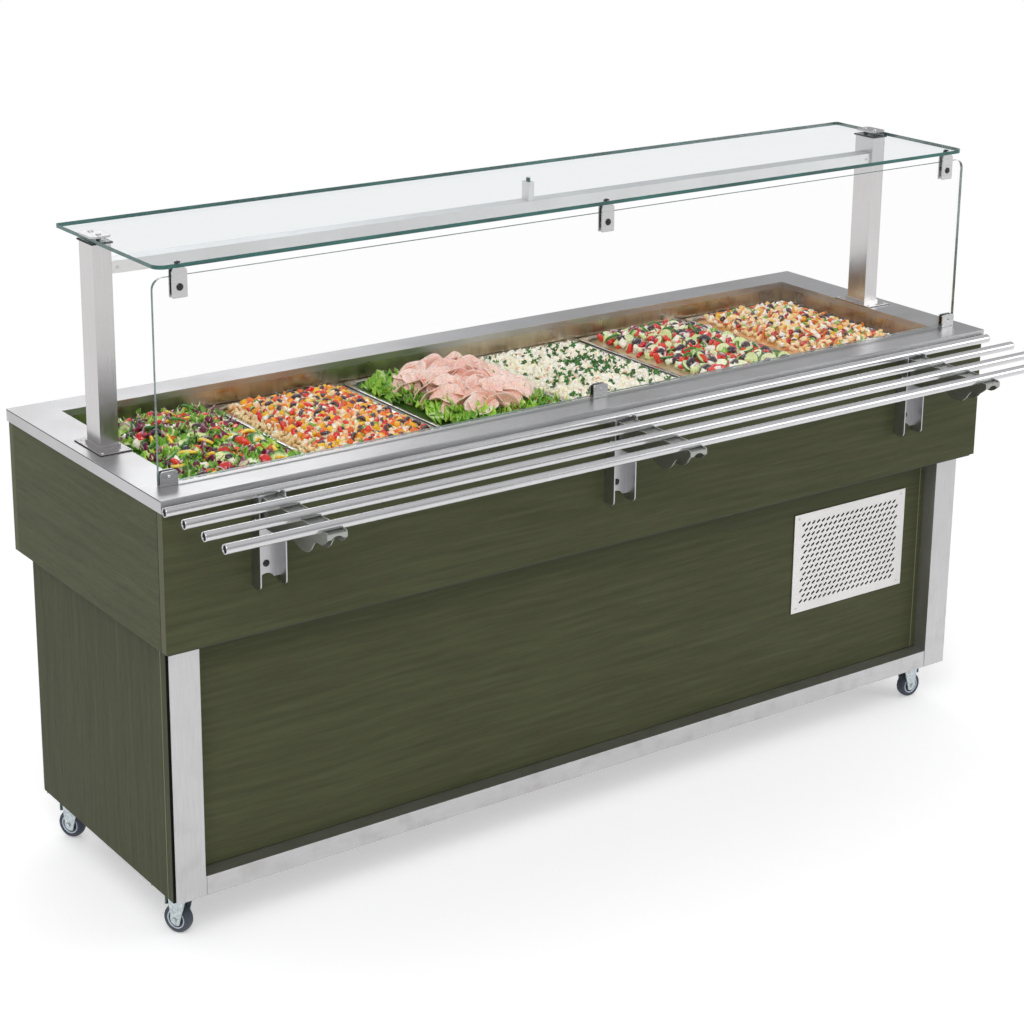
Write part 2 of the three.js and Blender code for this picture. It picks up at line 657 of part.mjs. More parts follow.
const sideEndY = LOWER_Y - POST_REBATE;
place('lower_panel_front', 'laminate', lowerFront());
place('lower_panel_rear', 'laminate', lowerRear());
place('lower_panel_left', 'laminate',
  box(-LOWER_X, -LOWER_X + SIDE_BOARD, -sideEndY, sideEndY, BASE_Z, boardTop));
place('lower_panel_right', 'laminate',
  box(LOWER_X - SIDE_BOARD, LOWER_X, -sideEndY, sideEndY, BASE_Z, boardTop));

function grille() {
  const y0 = -POST_Y0 - GRILLE_T;
  const plate = box(
    GRILLE_X - GRILLE_W / 2, GRILLE_X + GRILLE_W / 2, y0, y0 + GRILLE_T,
    GRILLE_Z - GRILLE_H / 2, GRILLE_Z + GRILLE_H / 2,
  );
  const slots = [];
  const slant = (SLOT_SLANT * Math.PI) / 180;
  const along = [Math.cos(slant), Math.sin(slant)];
  for (let row = 0; row < SLOT_ROWS; row += 1) {
    for (let column = 0; column < SLOT_COLUMNS; column += 1) {
      const shift = row % 2 ? SLOT_PITCH_X / 4 : -SLOT_PITCH_X / 4;
      const cx = GRILLE_X + (column - (SLOT_COLUMNS - 1) / 2) * SLOT_PITCH_X + shift;
      const cz = GRILLE_Z + (row - (SLOT_ROWS - 1) / 2) * SLOT_PITCH_Z;
      const corners = [[1, 1], [-1, 1], [-1, -1], [1, -1]].map(([a, b]) => {
        const u = (a * SLOT_LONG) / 2;
        const v = (b * SLOT_WIDE) / 2;
        return [cx + u * along[0] - v * along[1], cz + u * along[1] + v * along[0]];
      });
      slots.push(prism('y', corners, y0 - 1, y0 + GRILLE_T + 1));
    }
  }
  return plate.subtract(wasm.Manifold.compose(slots));
}
place('intake_grille', 'stainless', grille());

// ---------------------------------------------------------------- refrigeration unit
const unitFloor = FLOOR_Z + FLOOR_T + GAP;

function compressor() {
  const z = unitFloor + COMPRESSOR_FOOT_H;
  const [r, h] = [COMPRESSOR_R, COMPRESSOR_H];
  const pot = lathe([
    [0, 0], [0.7 * r, 0], [0.95 * r, 0.1 * h], [r, 0.21 * h], [r, 0.68 * h], [0.9 * r, 0.86 * h],
    [0.55 * r, 0.97 * h], [0, h],
  ]).translate([COMPRESSOR_X, COMPRESSOR_Y, z]);
  const feet = [];
  for (const sx of [-1, 1]) {
    for (const sy of [-1, 1]) {
      const x = COMPRESSOR_X + sx * 0.91 * r;
      const y = COMPRESSOR_Y + sy * 0.68 * r;
      feet.push(rod('z', x, y, COMPRESSOR_FOOT_R, unitFloor, z + COMPRESSOR_PLATE_T, HOLE_SIDES));
    }
  }
  const plate = box(
    COMPRESSOR_X - 1.11 * r, COMPRESSOR_X + 1.11 * r, COMPRESSOR_Y - 0.86 * r, COMPRESSOR_Y + 0.86 * r,
    z + 0.5 * COMPRESSOR_PLATE_T, z + 1.5 * COMPRESSOR_PLATE_T,
  );
  const relay = box(
    COMPRESSOR_X - 1.34 * r, COMPRESSOR_X - 0.8 * r, COMPRESSOR_Y - 0.3 * r, COMPRESSOR_Y + 0.3 * r,
    z + 0.32 * h, z + 0.59 * h,
  );
  const ports = [-1, 1].map((s) => rod(
    'z', COMPRESSOR_X + 0.45 * r, COMPRESSOR_Y + s * 0.23 * r, 0.065 * r, z + 0.63 * h, z + 1.04 * h, 16,
  ));
  return join([pot, plate, relay, ...feet, ...ports]);
}

const condenserZ0 = unitFloor + CONDENSER_LEG;
const condenserZ1 = condenserZ0 + CONDENSER_H;
const condenserZC = (condenserZ0 + condenserZ1) / 2;
const fanRingY = CONDENSER_Y + CONDENSER_T;
const fanHubY0 = fanRingY + FAN_HUB_GAP;
const fanHubY1 = fanHubY0 + FAN_HUB_DEPTH;
const fanHubYC = (fanHubY0 + fanHubY1) / 2;

// Coil between two side plates, with a shroud, a ring round the fan and the motor on four struts.
function condenser() {
  const x0 = GRILLE_X - CONDENSER_W / 2;
  const x1 = GRILLE_X + CONDENSER_W / 2;
  const y0 = CONDENSER_Y;
  const y1 = fanRingY;
  const t = CONDENSER_SHEET;
  const parts = [
    box(x0, x0 + t, y0, y1, unitFloor, condenserZ1),
    box(x1 - t, x1, y0, y1, unitFloor, condenserZ1),
    box(x0, x1, y0, y1, condenserZ1 - t, condenserZ1),
    box(x0, x1, y0, y1, unitFloor, unitFloor + t),
  ];
  for (let i = 1; i < CONDENSER_FINS; i += 1) {
    const x = x0 + (i * CONDENSER_W) / CONDENSER_FINS;
    parts.push(box(x - FIN_T / 2, x + FIN_T / 2, y0 + t, y1 - 2 * t, condenserZ0, condenserZ1 - t / 2));
  }
  for (const x of [x0, x1]) {
    for (const share of [0.12, 0.37, 0.63, 0.88]) {
      const z = condenserZ0 + share * CONDENSER_H;
      const [from, to] = [x - 1.6 * CONDENSER_TUBE_R, x + 1.6 * CONDENSER_TUBE_R];
      parts.push(rod('x', y0 + 4 * CONDENSER_TUBE_R, z, CONDENSER_TUBE_R, from, to, 8));
    }
  }
  const ringInner = FAN_R + FAN_RIM_GAP;
  const ringOuter = ringInner + FAN_RIM_T;
  const ringMiddle = (ringInner + ringOuter) / 2;
  const shroud = cut(
    box(x0, x1, y1 - t, y1, condenserZ0 - t / 2, condenserZ1),
    [rod('y', GRILLE_X, condenserZC, ringMiddle - FAN_RIM_T / 4, y1 - 2 * t, y1 + t)],
  );
  const ring = cut(
    rod('y', GRILLE_X, condenserZC, ringOuter, y1 - t / 2, y1 + FAN_RIM_DEPTH),
    [rod('y', GRILLE_X, condenserZC, ringInner, y1 - t, y1 + FAN_RIM_DEPTH + t)],
  );
  const motorY = fanHubY1 + FAN_MOTOR_GAP;
  const motor = rod('y', GRILLE_X, condenserZC, FAN_MOTOR_R, motorY, motorY + FAN_MOTOR_DEPTH);
  const shaft = rod('y', GRILLE_X, condenserZC, FAN_SHAFT_R, fanHubY0 - FAN_STRUT_T, motorY + FAN_STRUT_T);
  const struts = [];
  for (const angle of [45, 135, 225, 315]) {
    const strut = box(
      FAN_HUB_R, ringMiddle, motorY + FAN_STRUT_T / 2, motorY + 1.5 * FAN_STRUT_T,
      -FAN_STRUT_W / 2, FAN_STRUT_W / 2,
    );
    struts.push(strut.rotate([0, -angle, 0]).translate([GRILLE_X, 0, condenserZC]));
  }
  return join([...parts, shroud, ring, motor, shaft, ...struts]);
}

function condenserFan() {
  const hub = rod('y', 0, 0, FAN_HUB_R, fanHubY0, fanHubY1);
  const r = FAN_R;
  const outline = [
    [0.17 * r, -0.12 * r], [0.51 * r, -0.29 * r], [0.88 * r, -0.32 * r], [0.97 * r, -0.05 * r],
    [0.95 * r, 0.19 * r], [0.66 * r, 0.25 * r], [0.25 * r, 0.17 * r], [0.17 * r, 0.1 * r],
  ];
  const blades = [];
  for (let i = 0; i < FAN_BLADES; i += 1) {
    const blade = prism('z', outline, -FAN_BLADE_T / 2, FAN_BLADE_T / 2).rotate([FAN_BLADE_PITCH, 0, 0]);
    blades.push(blade.rotate([90, 0, 0]).rotate([0, (360 * i) / FAN_BLADES, 0]).translate([0, fanHubYC, 0]));
  }
  const sweep = rod('y', 0, 0, FAN_R, fanHubY0 - FAN_HUB_GAP + FAN_BLADE_T, fanHubY1 + FAN_MOTOR_GAP - 1);
  const bore = rod('y', 0, 0, FAN_SHAFT_R + RUN_CLEAR, fanHubY0 - 1, fanHubY1 + 1);
  return cut(join([hub, ...blades]).intersect(sweep), [bore]).translate([GRILLE_X, 0, condenserZC]);
}

place('compressor', 'painted', compressor());
place('condenser', 'aluminium', condenser());
place('condenser_fan', 'black', condenserFan());

// ---------------------------------------------------------------- controls, staff side
function controlPanel() {
  const x0 = CONTROL_X - CONTROL_W / 2;
  const x1 = CONTROL_X + CONTROL_W / 2;
  const z0 = CONTROL_Z - CONTROL_H / 2;
  const z1 = CONTROL_Z + CONTROL_H / 2;
  const y0 = CONTROL_Y;
  const y1 = CONTROL_Y + CONTROL_D;
  const shell = prism('y', rounded(x0, x1, z0, z1, 8, 4), y0, y1);
  const pocket = box(SWITCH_X - SWITCH_W / 2, SWITCH_X + SWITCH_W / 2, y1 - 12, y1 + 1,
    CONTROL_Z - SWITCH_H / 2, CONTROL_Z + SWITCH_H / 2);
  const display = box(CONTROL_X - 70, CONTROL_X + 10, y1 - 2, y1 + 1, CONTROL_Z - 18, CONTROL_Z + 22);
  const gland = rod('z', CONTROL_X - 80, (y0 + y1) / 2, 9, z0 - 14, z0 + 1, 24);
  const glandBore = rod('z', CONTROL_X - 80, (y0 + y1) / 2, 5, z0 - 15, z0 + 10, 24);
  const pivot = rod(
    'x', y1 - 4, CONTROL_Z, SWITCH_PIN_R,
    SWITCH_X - SWITCH_W / 2 - 1, SWITCH_X + SWITCH_W / 2 + 1, HOLE_SIDES,
  );
  return join([cut(join([cut(shell, [pocket, display]), gland]), [glandBore]), pivot]);
}

function powerSwitch() {
  const y1 = CONTROL_Y + CONTROL_D;
  const half = SWITCH_H / 2 - 0.7;
  const profile = [
    [y1 - 4.5, CONTROL_Z - half], [y1 + 3.2, CONTROL_Z - half], [y1 + 1.2, CONTROL_Z],
    [y1 + 0.2, CONTROL_Z + half], [y1 - 4.5, CONTROL_Z + half],
  ];
  const x = SWITCH_W / 2 - 0.4;
  const rocker = prism('x', profile, SWITCH_X - x, SWITCH_X + x);
  const boss = rod('x', y1 - 4, CONTROL_Z, 3.4, SWITCH_X - x, SWITCH_X + x, HOLE_SIDES);
  const bore = rod(
    'x', y1 - 4, CONTROL_Z, SWITCH_PIN_R + RUN_CLEAR, SWITCH_X - x - 1, SWITCH_X + x + 1, HOLE_SIDES,
  );
  return cut(join([rocker, boss]), [bore]);
}

place('control_panel', 'black', controlPanel());
place('power_switch', 'black', powerSwitch());

// ---------------------------------------------------------------- glass guard
function guardPost(side) {
  const cx = side * GUARD_X;
  const x0 = cx - GUARD_W / 2;
  const x1 = cx + GUARD_W / 2;
  const y0 = GUARD_Y - GUARD_D / 2;
  const y1 = GUARD_Y + GUARD_D / 2;
  const tube = box(x0, x1, y0, y1, TOP_Z + GAP, GUARD_TOP);
  const core = box(
    x0 + GUARD_WALL, x1 - GUARD_WALL, y0 + GUARD_WALL, y1 - GUARD_WALL, TOP_Z, GUARD_TOP - GUARD_LID_T,
  );
  const plate = box(
    cx - GUARD_FOOT_REACH, cx + GUARD_FOOT_REACH, GUARD_Y - GUARD_D, GUARD_Y + GUARD_D,
    TOP_Z + GAP, TOP_Z + GAP + GUARD_FOOT_T,
  );
  const collar = box(
    x0 - COLLAR_W, x1 + COLLAR_W, y0 - COLLAR_W, y1 + COLLAR_W, TOP_Z + GAP, TOP_Z + COLLAR_H,
  );
  const studs = [-1, 1].map((s) => rod(
    'z', cx, GUARD_Y + s * STUD_SPREAD, STUD_R + 1, GUARD_TOP - GUARD_LID_T - 1, GUARD_TOP + 1, HOLE_SIDES,
  ));
  return cut(join([tube, plate, collar]), [core, ...studs]);
}

function guardCap(side) {
  const cx = side * GUARD_X;
  const z0 = TOP_GLASS_TOP + GAP;
  const w = GUARD_W / 2 + 2;
  const d = GUARD_D / 2 + 2;
  const c = 7;
  const outline = [
    [cx - w + c, GUARD_Y - d], [cx + w - c, GUARD_Y - d],
    [cx + w, GUARD_Y - d + c], [cx + w, GUARD_Y + d - c],
    [cx + w - c, GUARD_Y + d], [cx - w + c, GUARD_Y + d],
    [cx - w, GUARD_Y + d - c], [cx - w, GUARD_Y - d + c],
  ];
  const plate = prism('z', outline, z0, z0 + CAP_T);
  const screws = [];
  for (const s of [-1, 1]) {
    const y = GUARD_Y + s * STUD_SPREAD;
    screws.push(rod('z', cx, y, STUD_R, GUARD_TOP - 6, z0 + 1, HOLE_SIDES));
    const dome = lathe([[0, 0], [6, 0], [5.2, 1.8], [3, 3], [0, 3.3]], HOLE_SIDES);
    screws.push(dome.translate([cx, y, z0 + CAP_T - 0.1]));
  }
  return join([plate, ...screws]);
}

function lampBeam() {
  const x = GUARD_X - GUARD_W / 2 - GAP;
  const y0 = BEAM_YC - BEAM_D / 2;
  const y1 = BEAM_YC + BEAM_D / 2;
  const shell = box(-x, x, y0, y1, BEAM_Z, BEAM_Z + BEAM_H);
  const core = box(
    -x - 1, x + 1, y0 + BEAM_WALL, y1 - BEAM_WALL, BEAM_Z + BEAM_WALL, BEAM_Z + BEAM_H - BEAM_WALL,
  );
  const slot = box(
    -LAMP_X - GAP, LAMP_X + GAP, BEAM_YC - LAMP_HALF_W, BEAM_YC + LAMP_HALF_W,
    BEAM_Z - 1, BEAM_Z + BEAM_WALL + 1,
  );
  const stub = box(-7.5, 7.5, BEAM_YC - 12.5, BEAM_YC + 12.5, BEAM_Z + BEAM_H - 1, GUARD_TOP);
  const stem = rod('z', 0, BEAM_YC, STUD_R, GUARD_TOP - 1, TOP_GLASS_TOP + 2, HOLE_SIDES);
  return join([cut(shell, [core, slot]), stub, stem]);
}

function lampDiffuser() {
  const half = LAMP_HALF_W - GAP;
  const face = box(-LAMP_X, LAMP_X, BEAM_YC - half, BEAM_YC + half, BEAM_Z - 2.5, BEAM_Z + BEAM_WALL + 1);
  const flange = box(
    -LAMP_X, LAMP_X, BEAM_YC - half - 3, BEAM_YC + half + 3, BEAM_Z + BEAM_WALL + GAP, BEAM_Z + BEAM_WALL + 3,
  );
  return join([face, flange]);
}

function topGlass() {
  const sheet = prism('z', rounded(
    -TOP_GLASS_X, TOP_GLASS_X, TOP_GLASS_FRONT, TOP_GLASS_BACK,
    [GLASS_CORNER_R, GLASS_CORNER_R, GLASS_PLAIN_R, GLASS_PLAIN_R], 8,
  ), TOP_GLASS_Z, TOP_GLASS_TOP);
  const holes = [rod('z', 0, BEAM_YC, STUD_R + 1, TOP_GLASS_Z - 1, TOP_GLASS_TOP + 1, HOLE_SIDES)];
  for (const side of [-1, 1]) {
    for (const s of [-1, 1]) {
      holes.push(rod('z', side * GUARD_X, GUARD_Y + s * STUD_SPREAD, STUD_R + 1,
        TOP_GLASS_Z - 1, TOP_GLASS_TOP + 1, HOLE_SIDES));
    }
  }
  for (const x of TOP_CLIP_X) {
    holes.push(rod('z', x, CLIP_STEM_Y, CLIP_BOLT_R + 1, TOP_GLASS_Z - 1, TOP_GLASS_TOP + 1, HOLE_SIDES));
  }
  return cut(sheet, holes);
}

const lowBoltZ = TOP_Z + LOW_CLIP_BOLT_RISE;

function frontGlass() {
  const r = GLASS_CORNER_R;
  const sheet = prism('y', rounded(
    -FRONT_GLASS_X, FRONT_GLASS_X, FRONT_GLASS_BOTTOM, FRONT_GLASS_TOP, [3, 3, r, r], 8,
  ), FRONT_GLASS_Y, GLASS_INNER_Y);
  const holes = [];
  for (const x of TOP_CLIP_X) {
    holes.push(rod('y', x, CLIP_BOLT_Z, CLIP_BOLT_R + 1, FRONT_GLASS_Y - 1, GLASS_INNER_Y + 1, HOLE_SIDES));
  }
  for (const x of LOW_CLIP_X) {
    holes.push(rod('y', x, lowBoltZ, CLIP_BOLT_R + 1, FRONT_GLASS_Y - 1, GLASS_INNER_Y + 1, HOLE_SIDES));
  }
  return cut(sheet, holes);
}

const clipFront = FRONT_GLASS_Y - GAP;
const clipBack = GLASS_INNER_Y + GAP;

function topClip(cx) {
  const w = CLIP_W / 2;
  const outline = rounded(cx - w, cx + w, CLIP_BOTTOM_Z, GUARD_TOP, [2, 2, 9, 9], 5);
  const face = prism('y', outline, clipFront - CLIP_T, clipFront);
  const back = prism('y', outline, clipBack, clipBack + CLIP_T);
  const leaf = box(cx - 8, cx + 8, clipFront - 1, clipBack + 1, GUARD_TOP - CLIP_T, GUARD_TOP);
  const bolt = rod('y', cx, CLIP_BOLT_Z, CLIP_BOLT_R, clipFront - 1, clipBack + 1, HOLE_SIDES);
  const stem = rod('z', cx, CLIP_STEM_Y, CLIP_BOLT_R, GUARD_TOP - 1, TOP_GLASS_TOP + 2, HOLE_SIDES);
  return join([face, back, leaf, bolt, stem]);
}

function bottomClip(cx) {
  const w = LOW_CLIP_W / 2;
  const z0 = TOP_Z + GAP;
  const z1 = z0 + LOW_CLIP_H;
  const outline = rounded(cx - w, cx + w, z0, z1, [0, 0, 6, 6], 4);
  const face = prism('y', outline, clipFront - CLIP_T, clipFront);
  const back = prism('y', outline, clipBack, clipBack + CLIP_T);
  const foot = box(cx - w, cx + w, clipFront - CLIP_T, clipBack + CLIP_T, z0, z0 + CLIP_T);
  const bolt = rod('y', cx, lowBoltZ, CLIP_BOLT_R, clipFront - 1, clipBack + 1, HOLE_SIDES);
  return join([face, back, foot, bolt]);
}

place('post_left', 'stainless', guardPost(-1));
place('post_right', 'stainless', guardPost(1));
place('post_cap_left', 'stainless', guardCap(-1));
place('post_cap_right', 'stainless', guardCap(1));
place('lamp_beam', 'stainless', lampBeam());
place('lamp_diffuser', 'diffuser', lampDiffuser());
place('top_glass', 'glass', topGlass());
place('front_glass', 'glass', frontGlass());
TOP_CLIP_X.forEach((x, i) => place(`top_clip_${i + 1}`, 'stainless', topClip(x)));
LOW_CLIP_X.forEach((x, i) => place(`bottom_clip_${i + 1}`, 'stainless', bottomClip(x)));

// ---------------------------------------------------------------- tray slide
function rail(y) {
  return cut(
    rod('x', y, TUBE_Z, TUBE_R, -HALF_L, HALF_L),
    [rod('x', y, TUBE_Z, TUBE_R - TUBE_WALL, -HALF_L - 1, HALF_L + 1)],
  );
}

function channel(cx) {
  const w = CHANNEL_W / 2;
  const back = -UPPER_Y - GAP;
  const front = -UPPER_Y - CHANNEL_DEPTH;
  const side = rounded(front, back, CHANNEL_BOTTOM_Z, CHANNEL_TOP_Z, [10, 3, 0, 4], 3);
  const shelf = TOP_Z - FASCIA_H - 1;
  const web = box(cx - w, cx + w, back - CHANNEL_T, back, CHANNEL_BOTTOM_Z + CHANNEL_WEB_RISE, shelf);
  const fasciaRoom = box(cx - w - 1, cx + w + 1, -HALF_D - 1, back + 1, shelf, CHANNEL_TOP_Z + 1);
  const notch = rod('y', cx, CHANNEL_BOTTOM_Z + 2, CHANNEL_NOTCH_R, front - 1, back + 1, 16);
  const flanges = [-1, 1].map((s) => prism('x', side,
    Math.min(cx + s * w, cx + s * (w - CHANNEL_T)), Math.max(cx + s * w, cx + s * (w - CHANNEL_T))));
  const pin = rod('x', PIN_Y, PIN_Z, PIN_R, cx - w - 1.5, cx + w + 1.5);
  const saddle = rod('x', TUBE_Y[0], TUBE_Z, TUBE_R + GAP, cx - w - 1, cx + w + 1, SADDLE_SIDES);
  const boltZ = CHANNEL_BOTTOM_Z + CHANNEL_BOLT_RISE;
  const boltHole = rod('y', cx, boltZ, CLIP_BOLT_R, back - CHANNEL_T - 1, back + 1, HOLE_SIDES);
  return cut(join([cut(web, [notch, boltHole]), ...flanges, pin]), [saddle, fasciaRoom]);
}

function arm(cx) {
  const w = ARM_W / 2;
  const outline = [
    [PIN_Y + 11, PIN_Z - 4], [PIN_Y + 11.5, PIN_Z + 4], [PIN_Y + 8, PIN_Z + 12], [PIN_Y, PIN_Z + 24],
    [PIN_Y - 10, ARM_TOP_Z - 16], [ARM_HEEL_Y, ARM_TOP_Z], [ARM_TIP_Y + 5, ARM_TOP_Z],
    ...ARM_EDGE.map(([out, drop]) => [ARM_TIP_Y + (out * ARM_REACH) / ARM_EDGE_REACH, ARM_TOP_Z - drop]),
    [PIN_Y, PIN_Z - 9.6], [PIN_Y + 7, PIN_Z - 8.4],
  ];
  const cheeks = [-1, 1].map((s) => prism('x', outline,
    Math.min(cx + s * w, cx + s * (w - ARM_T)), Math.max(cx + s * w, cx + s * (w - ARM_T))));
  const web = box(cx - w + 1, cx + w - 1, ARM_TIP_Y + ARM_T, ARM_HEEL_Y - 2, ARM_WEB_Z - ARM_T, ARM_WEB_Z);
  const tip = cut(
    box(cx - w + 1, cx + w - 1, ARM_TIP_Y, ARM_TIP_Y + ARM_T, ARM_WEB_Z - 11, ARM_WEB_Z),
    [prism('y', circle(cx, ARM_WEB_Z - 22, 17, 24), ARM_TIP_Y - 1, ARM_TIP_Y + ARM_T + 1)],
  );
  const slots = TUBE_Y.slice(1).map((y) => rod(
    'x', y, TUBE_Z, TUBE_R + GAP, cx - w - 1, cx + w + 1, SADDLE_SIDES,
  ));
  const backCuts = TUBE_Y.slice(1).map((y) => box(
    cx - w + ARM_T, cx + w - ARM_T, y + TUBE_R - 4, y + TUBE_R + 5, ARM_WEB_Z - ARM_T - 1, ARM_TOP_Z + 1,
  ));
  const bore = rod('x', PIN_Y, PIN_Z, PIN_R + RUN_CLEAR, cx - w - 1, cx + w + 1);
  return cut(join([...cheeks, cut(web, backCuts), tip]), [...slots, bore]);
}

place('fixed_rail', 'bright_steel', rail(TUBE_Y[0]));
BRACKET_X.forEach((x, i) => place(`tray_channel_${i + 1}`, 'stainless', channel(x)));
BRACKET_X.forEach((x, i) => place(`tray_arm_${i + 1}`, 'stainless', arm(x)));
TUBE_Y.slice(1).forEach((y, i) => place(`tray_rail_${i + 1}`, 'bright_steel', rail(y)));

// ---------------------------------------------------------------- casters
// Drawn with the swivel axis at the origin, the pedal towards +x and the axle along y.
function casterFork() {
  const out = FORK_INNER + FORK_T;
  const [t, r, z] = [TRAIL, WHEEL_R, CROWN_Z];
  const side = [
    [t + 42, z - 6.7], [t + 42, z + 2.3], [t + 38, z + CROWN_T], [t - 24, z + CROWN_T], [t - 27, z],
    [t - 27, z - 24], [t - 12, r - 9.5], [t - 7, r - 11], [t + 1, r - 11], [t + 7, r - 7], [t + 10, r],
    [t + 9, r + 9], [t + 11, r + 19], [t + 15, z - 10.7], [t + 21, z - 6.7],
  ];
  const cheeks = [
    prism('y', side, -out, -FORK_INNER),
    prism('y', side, FORK_INNER, out),
  ];
  const crown = box(t - 26, t + 16, -out + 0.5, out - 0.5, z, z + CROWN_T);
  const race = rod('z', 0, 0, 20, z + 1, BASE_Z - CASTER_PLATE_T - GAP);
  const facet = box(t - 27, t - 24.5, -out + 0.5, out - 0.5, z - 10.7, z + 1);
  const tail = prism('y', [
    [t - 26, z - 4.7], [t - 36, z - 2.7], [t - 44, z - 4.7], [t - 50, z - 9.7], [t - 52, z - 7.7],
    [t - 46, z - 0.7], [t - 36, z + 1.8], [t - 26, z + 0.3],
  ], -11, 11);
  const axle = rod('y', TRAIL, WHEEL_R, AXLE_R, -out - 1, out + 1);
  const heads = [-1, 1].map((s) => {
    const [from, to] = [s * out, s * (out + 3)].sort((a, b) => a - b);
    return rod('y', TRAIL, WHEEL_R, 6, from, to, 6);
  });
  const hinge = rod('y', TRAIL + PEDAL_PIN_X, PEDAL_PIN_Z, PEDAL_PIN_R, -out + 0.5, out - 0.5, HOLE_SIDES);
  const bore = rod('z', 0, 0, KING_R + RUN_CLEAR, z - 1, BASE_Z);
  return join([...cheeks, cut(join([crown, race]), [bore]), facet, tail, axle, ...heads, hinge]);
}

function casterWheel() {
  const w = WHEEL_W / 2;
  const profile = [
    [WHEEL_R - 4, -w], [WHEEL_R, -w + 4], [WHEEL_R, w - 4], [WHEEL_R - 4, w], [WHEEL_R - 9, w - 1],
    [10, w - 3], [9, w + 0.8], [AXLE_R + RUN_CLEAR, w + 0.8],
    [AXLE_R + RUN_CLEAR, -w - 0.8], [9, -w - 0.8], [10, -w + 3], [WHEEL_R - 9, -w + 1],
    [WHEEL_R - 4, -w],
  ];
  return lathe(profile).rotate([-90, 0, 0]).translate([TRAIL, 0, WHEEL_R]);
}

function casterPedal() {
  const w = FORK_INNER - 0.5;
  const [t, z] = [TRAIL, CROWN_Z];
  const plate = prism('y', [
    [t + 18, z - 4.2], [t + 48, z - 1.7], [t + 53, z - 3.5], [t + 55.5, z - 7.7], [t + 57.5, z - 6.7],
    [t + 55, z - 0.7], [t + 49, z + 1.3], [t + 18, z - 1.1],
  ], -w, w);
  const window = box(t + 33, t + 45, -7, 7, z - 10, z + 5);
  const barrel = rod('y', t + PEDAL_PIN_X, PEDAL_PIN_Z, PEDAL_PIN_R * 2, -w, w, HOLE_SIDES);
  const treadZ = WHEEL_R + Math.sqrt(WHEEL_R ** 2 - SHOE_REACH ** 2);
  const shoe = box(t + SHOE_REACH, t + SHOE_REACH + SHOE_T, -9, 9, treadZ + SHOE_CLEAR, PEDAL_PIN_Z);
  const bore = rod(
    'y', t + PEDAL_PIN_X, PEDAL_PIN_Z, PEDAL_PIN_R + RUN_CLEAR + 0.05, -w - 1, w + 1, HOLE_SIDES,
  );
  return cut(join([cut(plate, [window]), barrel, shoe]), [bore]);
}

for (const spot of CASTERS) {
  for (const [suffix, slot, make] of [
    ['fork', 'zinc', casterFork], ['wheel', 'tyre', casterWheel], ['pedal', 'pedal', casterPedal],
  ]) {
    place(`${spot.name}_${suffix}`, slot, make().rotate([0, 0, spot.turn]).translate([spot.x, spot.y, 0]));
  }
}

export default group;
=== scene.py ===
"""Mobile salad bar: materials, food, fine fittings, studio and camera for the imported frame.

Metres, +Z up, the customer side faces -Y. Laid out as a Blender add-on: each group of pieces has its own
operator, and main() registers the add-on and calls them in order.
"""

import json
import math

import bmesh
import bpy
from mathutils import Matrix, Vector, noise


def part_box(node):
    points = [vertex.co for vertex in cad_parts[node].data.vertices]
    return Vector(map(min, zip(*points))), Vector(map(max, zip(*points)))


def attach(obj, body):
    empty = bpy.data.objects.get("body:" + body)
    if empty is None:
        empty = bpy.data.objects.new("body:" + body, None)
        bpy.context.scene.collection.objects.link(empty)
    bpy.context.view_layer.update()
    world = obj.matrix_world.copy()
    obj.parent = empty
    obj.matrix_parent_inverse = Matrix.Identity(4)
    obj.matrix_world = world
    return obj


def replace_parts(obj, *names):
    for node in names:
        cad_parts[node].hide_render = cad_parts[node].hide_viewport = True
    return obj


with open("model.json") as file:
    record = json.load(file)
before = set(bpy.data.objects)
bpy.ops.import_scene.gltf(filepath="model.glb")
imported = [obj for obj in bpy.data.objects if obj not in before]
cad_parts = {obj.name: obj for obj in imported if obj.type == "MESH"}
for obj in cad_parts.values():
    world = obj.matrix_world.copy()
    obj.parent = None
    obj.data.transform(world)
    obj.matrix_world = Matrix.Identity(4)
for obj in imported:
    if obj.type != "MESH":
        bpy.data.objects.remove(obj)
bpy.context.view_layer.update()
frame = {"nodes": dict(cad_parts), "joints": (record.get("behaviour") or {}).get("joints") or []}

bl_info = {
    "name": "Mobile salad bar",
    "version": (1, 0, 0),
    "blender": (4, 5, 0),
    "location": "View3D > Sidebar > Salad bar",
    "description": "Dresses the salad bar's frame: steel, laminate, glass, salads, fittings and studio",
    "category": "Object",
}

MM = 0.001
WHITE = (1, 1, 1, 1)

# ------------------------------------------------------------------ sizes of the fine pieces
PAN_COUNT = 6
PAN_RIM_FLAT = 9.5 * MM
PAN_RIM_CORNER = 18 * MM
PAN_BOWL_INSET = 12.6 * MM
PAN_BOWL_CORNER = 34 * MM
PAN_FLOOR_RISE = 1.6 * MM

FOOD_EDGE_DROP = 8 * MM
FOOD_WALL_GAP = 1.6 * MM
FOOD_LUMPS = 4.0 * MM
FOOD_LUMP_SCALE = 30
FOOD_HEAP_CURVE = 2.6
FOOD_RINGS = 26
FOOD_SIDE_POINTS = 18
FRUIT_SIDES = 18
LEAF_THICKNESS = 0.9 * MM
HAM_THICKNESS = 1.6 * MM
TOMATO_RADIUS = 19 * MM
TOMATO_RISE = 6 * MM
TOMATO_LEAN = (0.2, -0.35, 0.9)
# Each: pan, share of its width from the left, distance in metres from its front edge.
FRONT_TOMATOES = ((5, 0.27, 0.055), (1, 0.30, 0.06))

# Strewing: most bits per square metre, a full turn, and the seeds of the four random choices.
DENSEST_BITS = 60000.0
FULL_TURN = 6.2831
SIZE_SEED = 11
LEAN_SEED = 12
DEPTH_SEED = 13
SHADE_SEED = 14

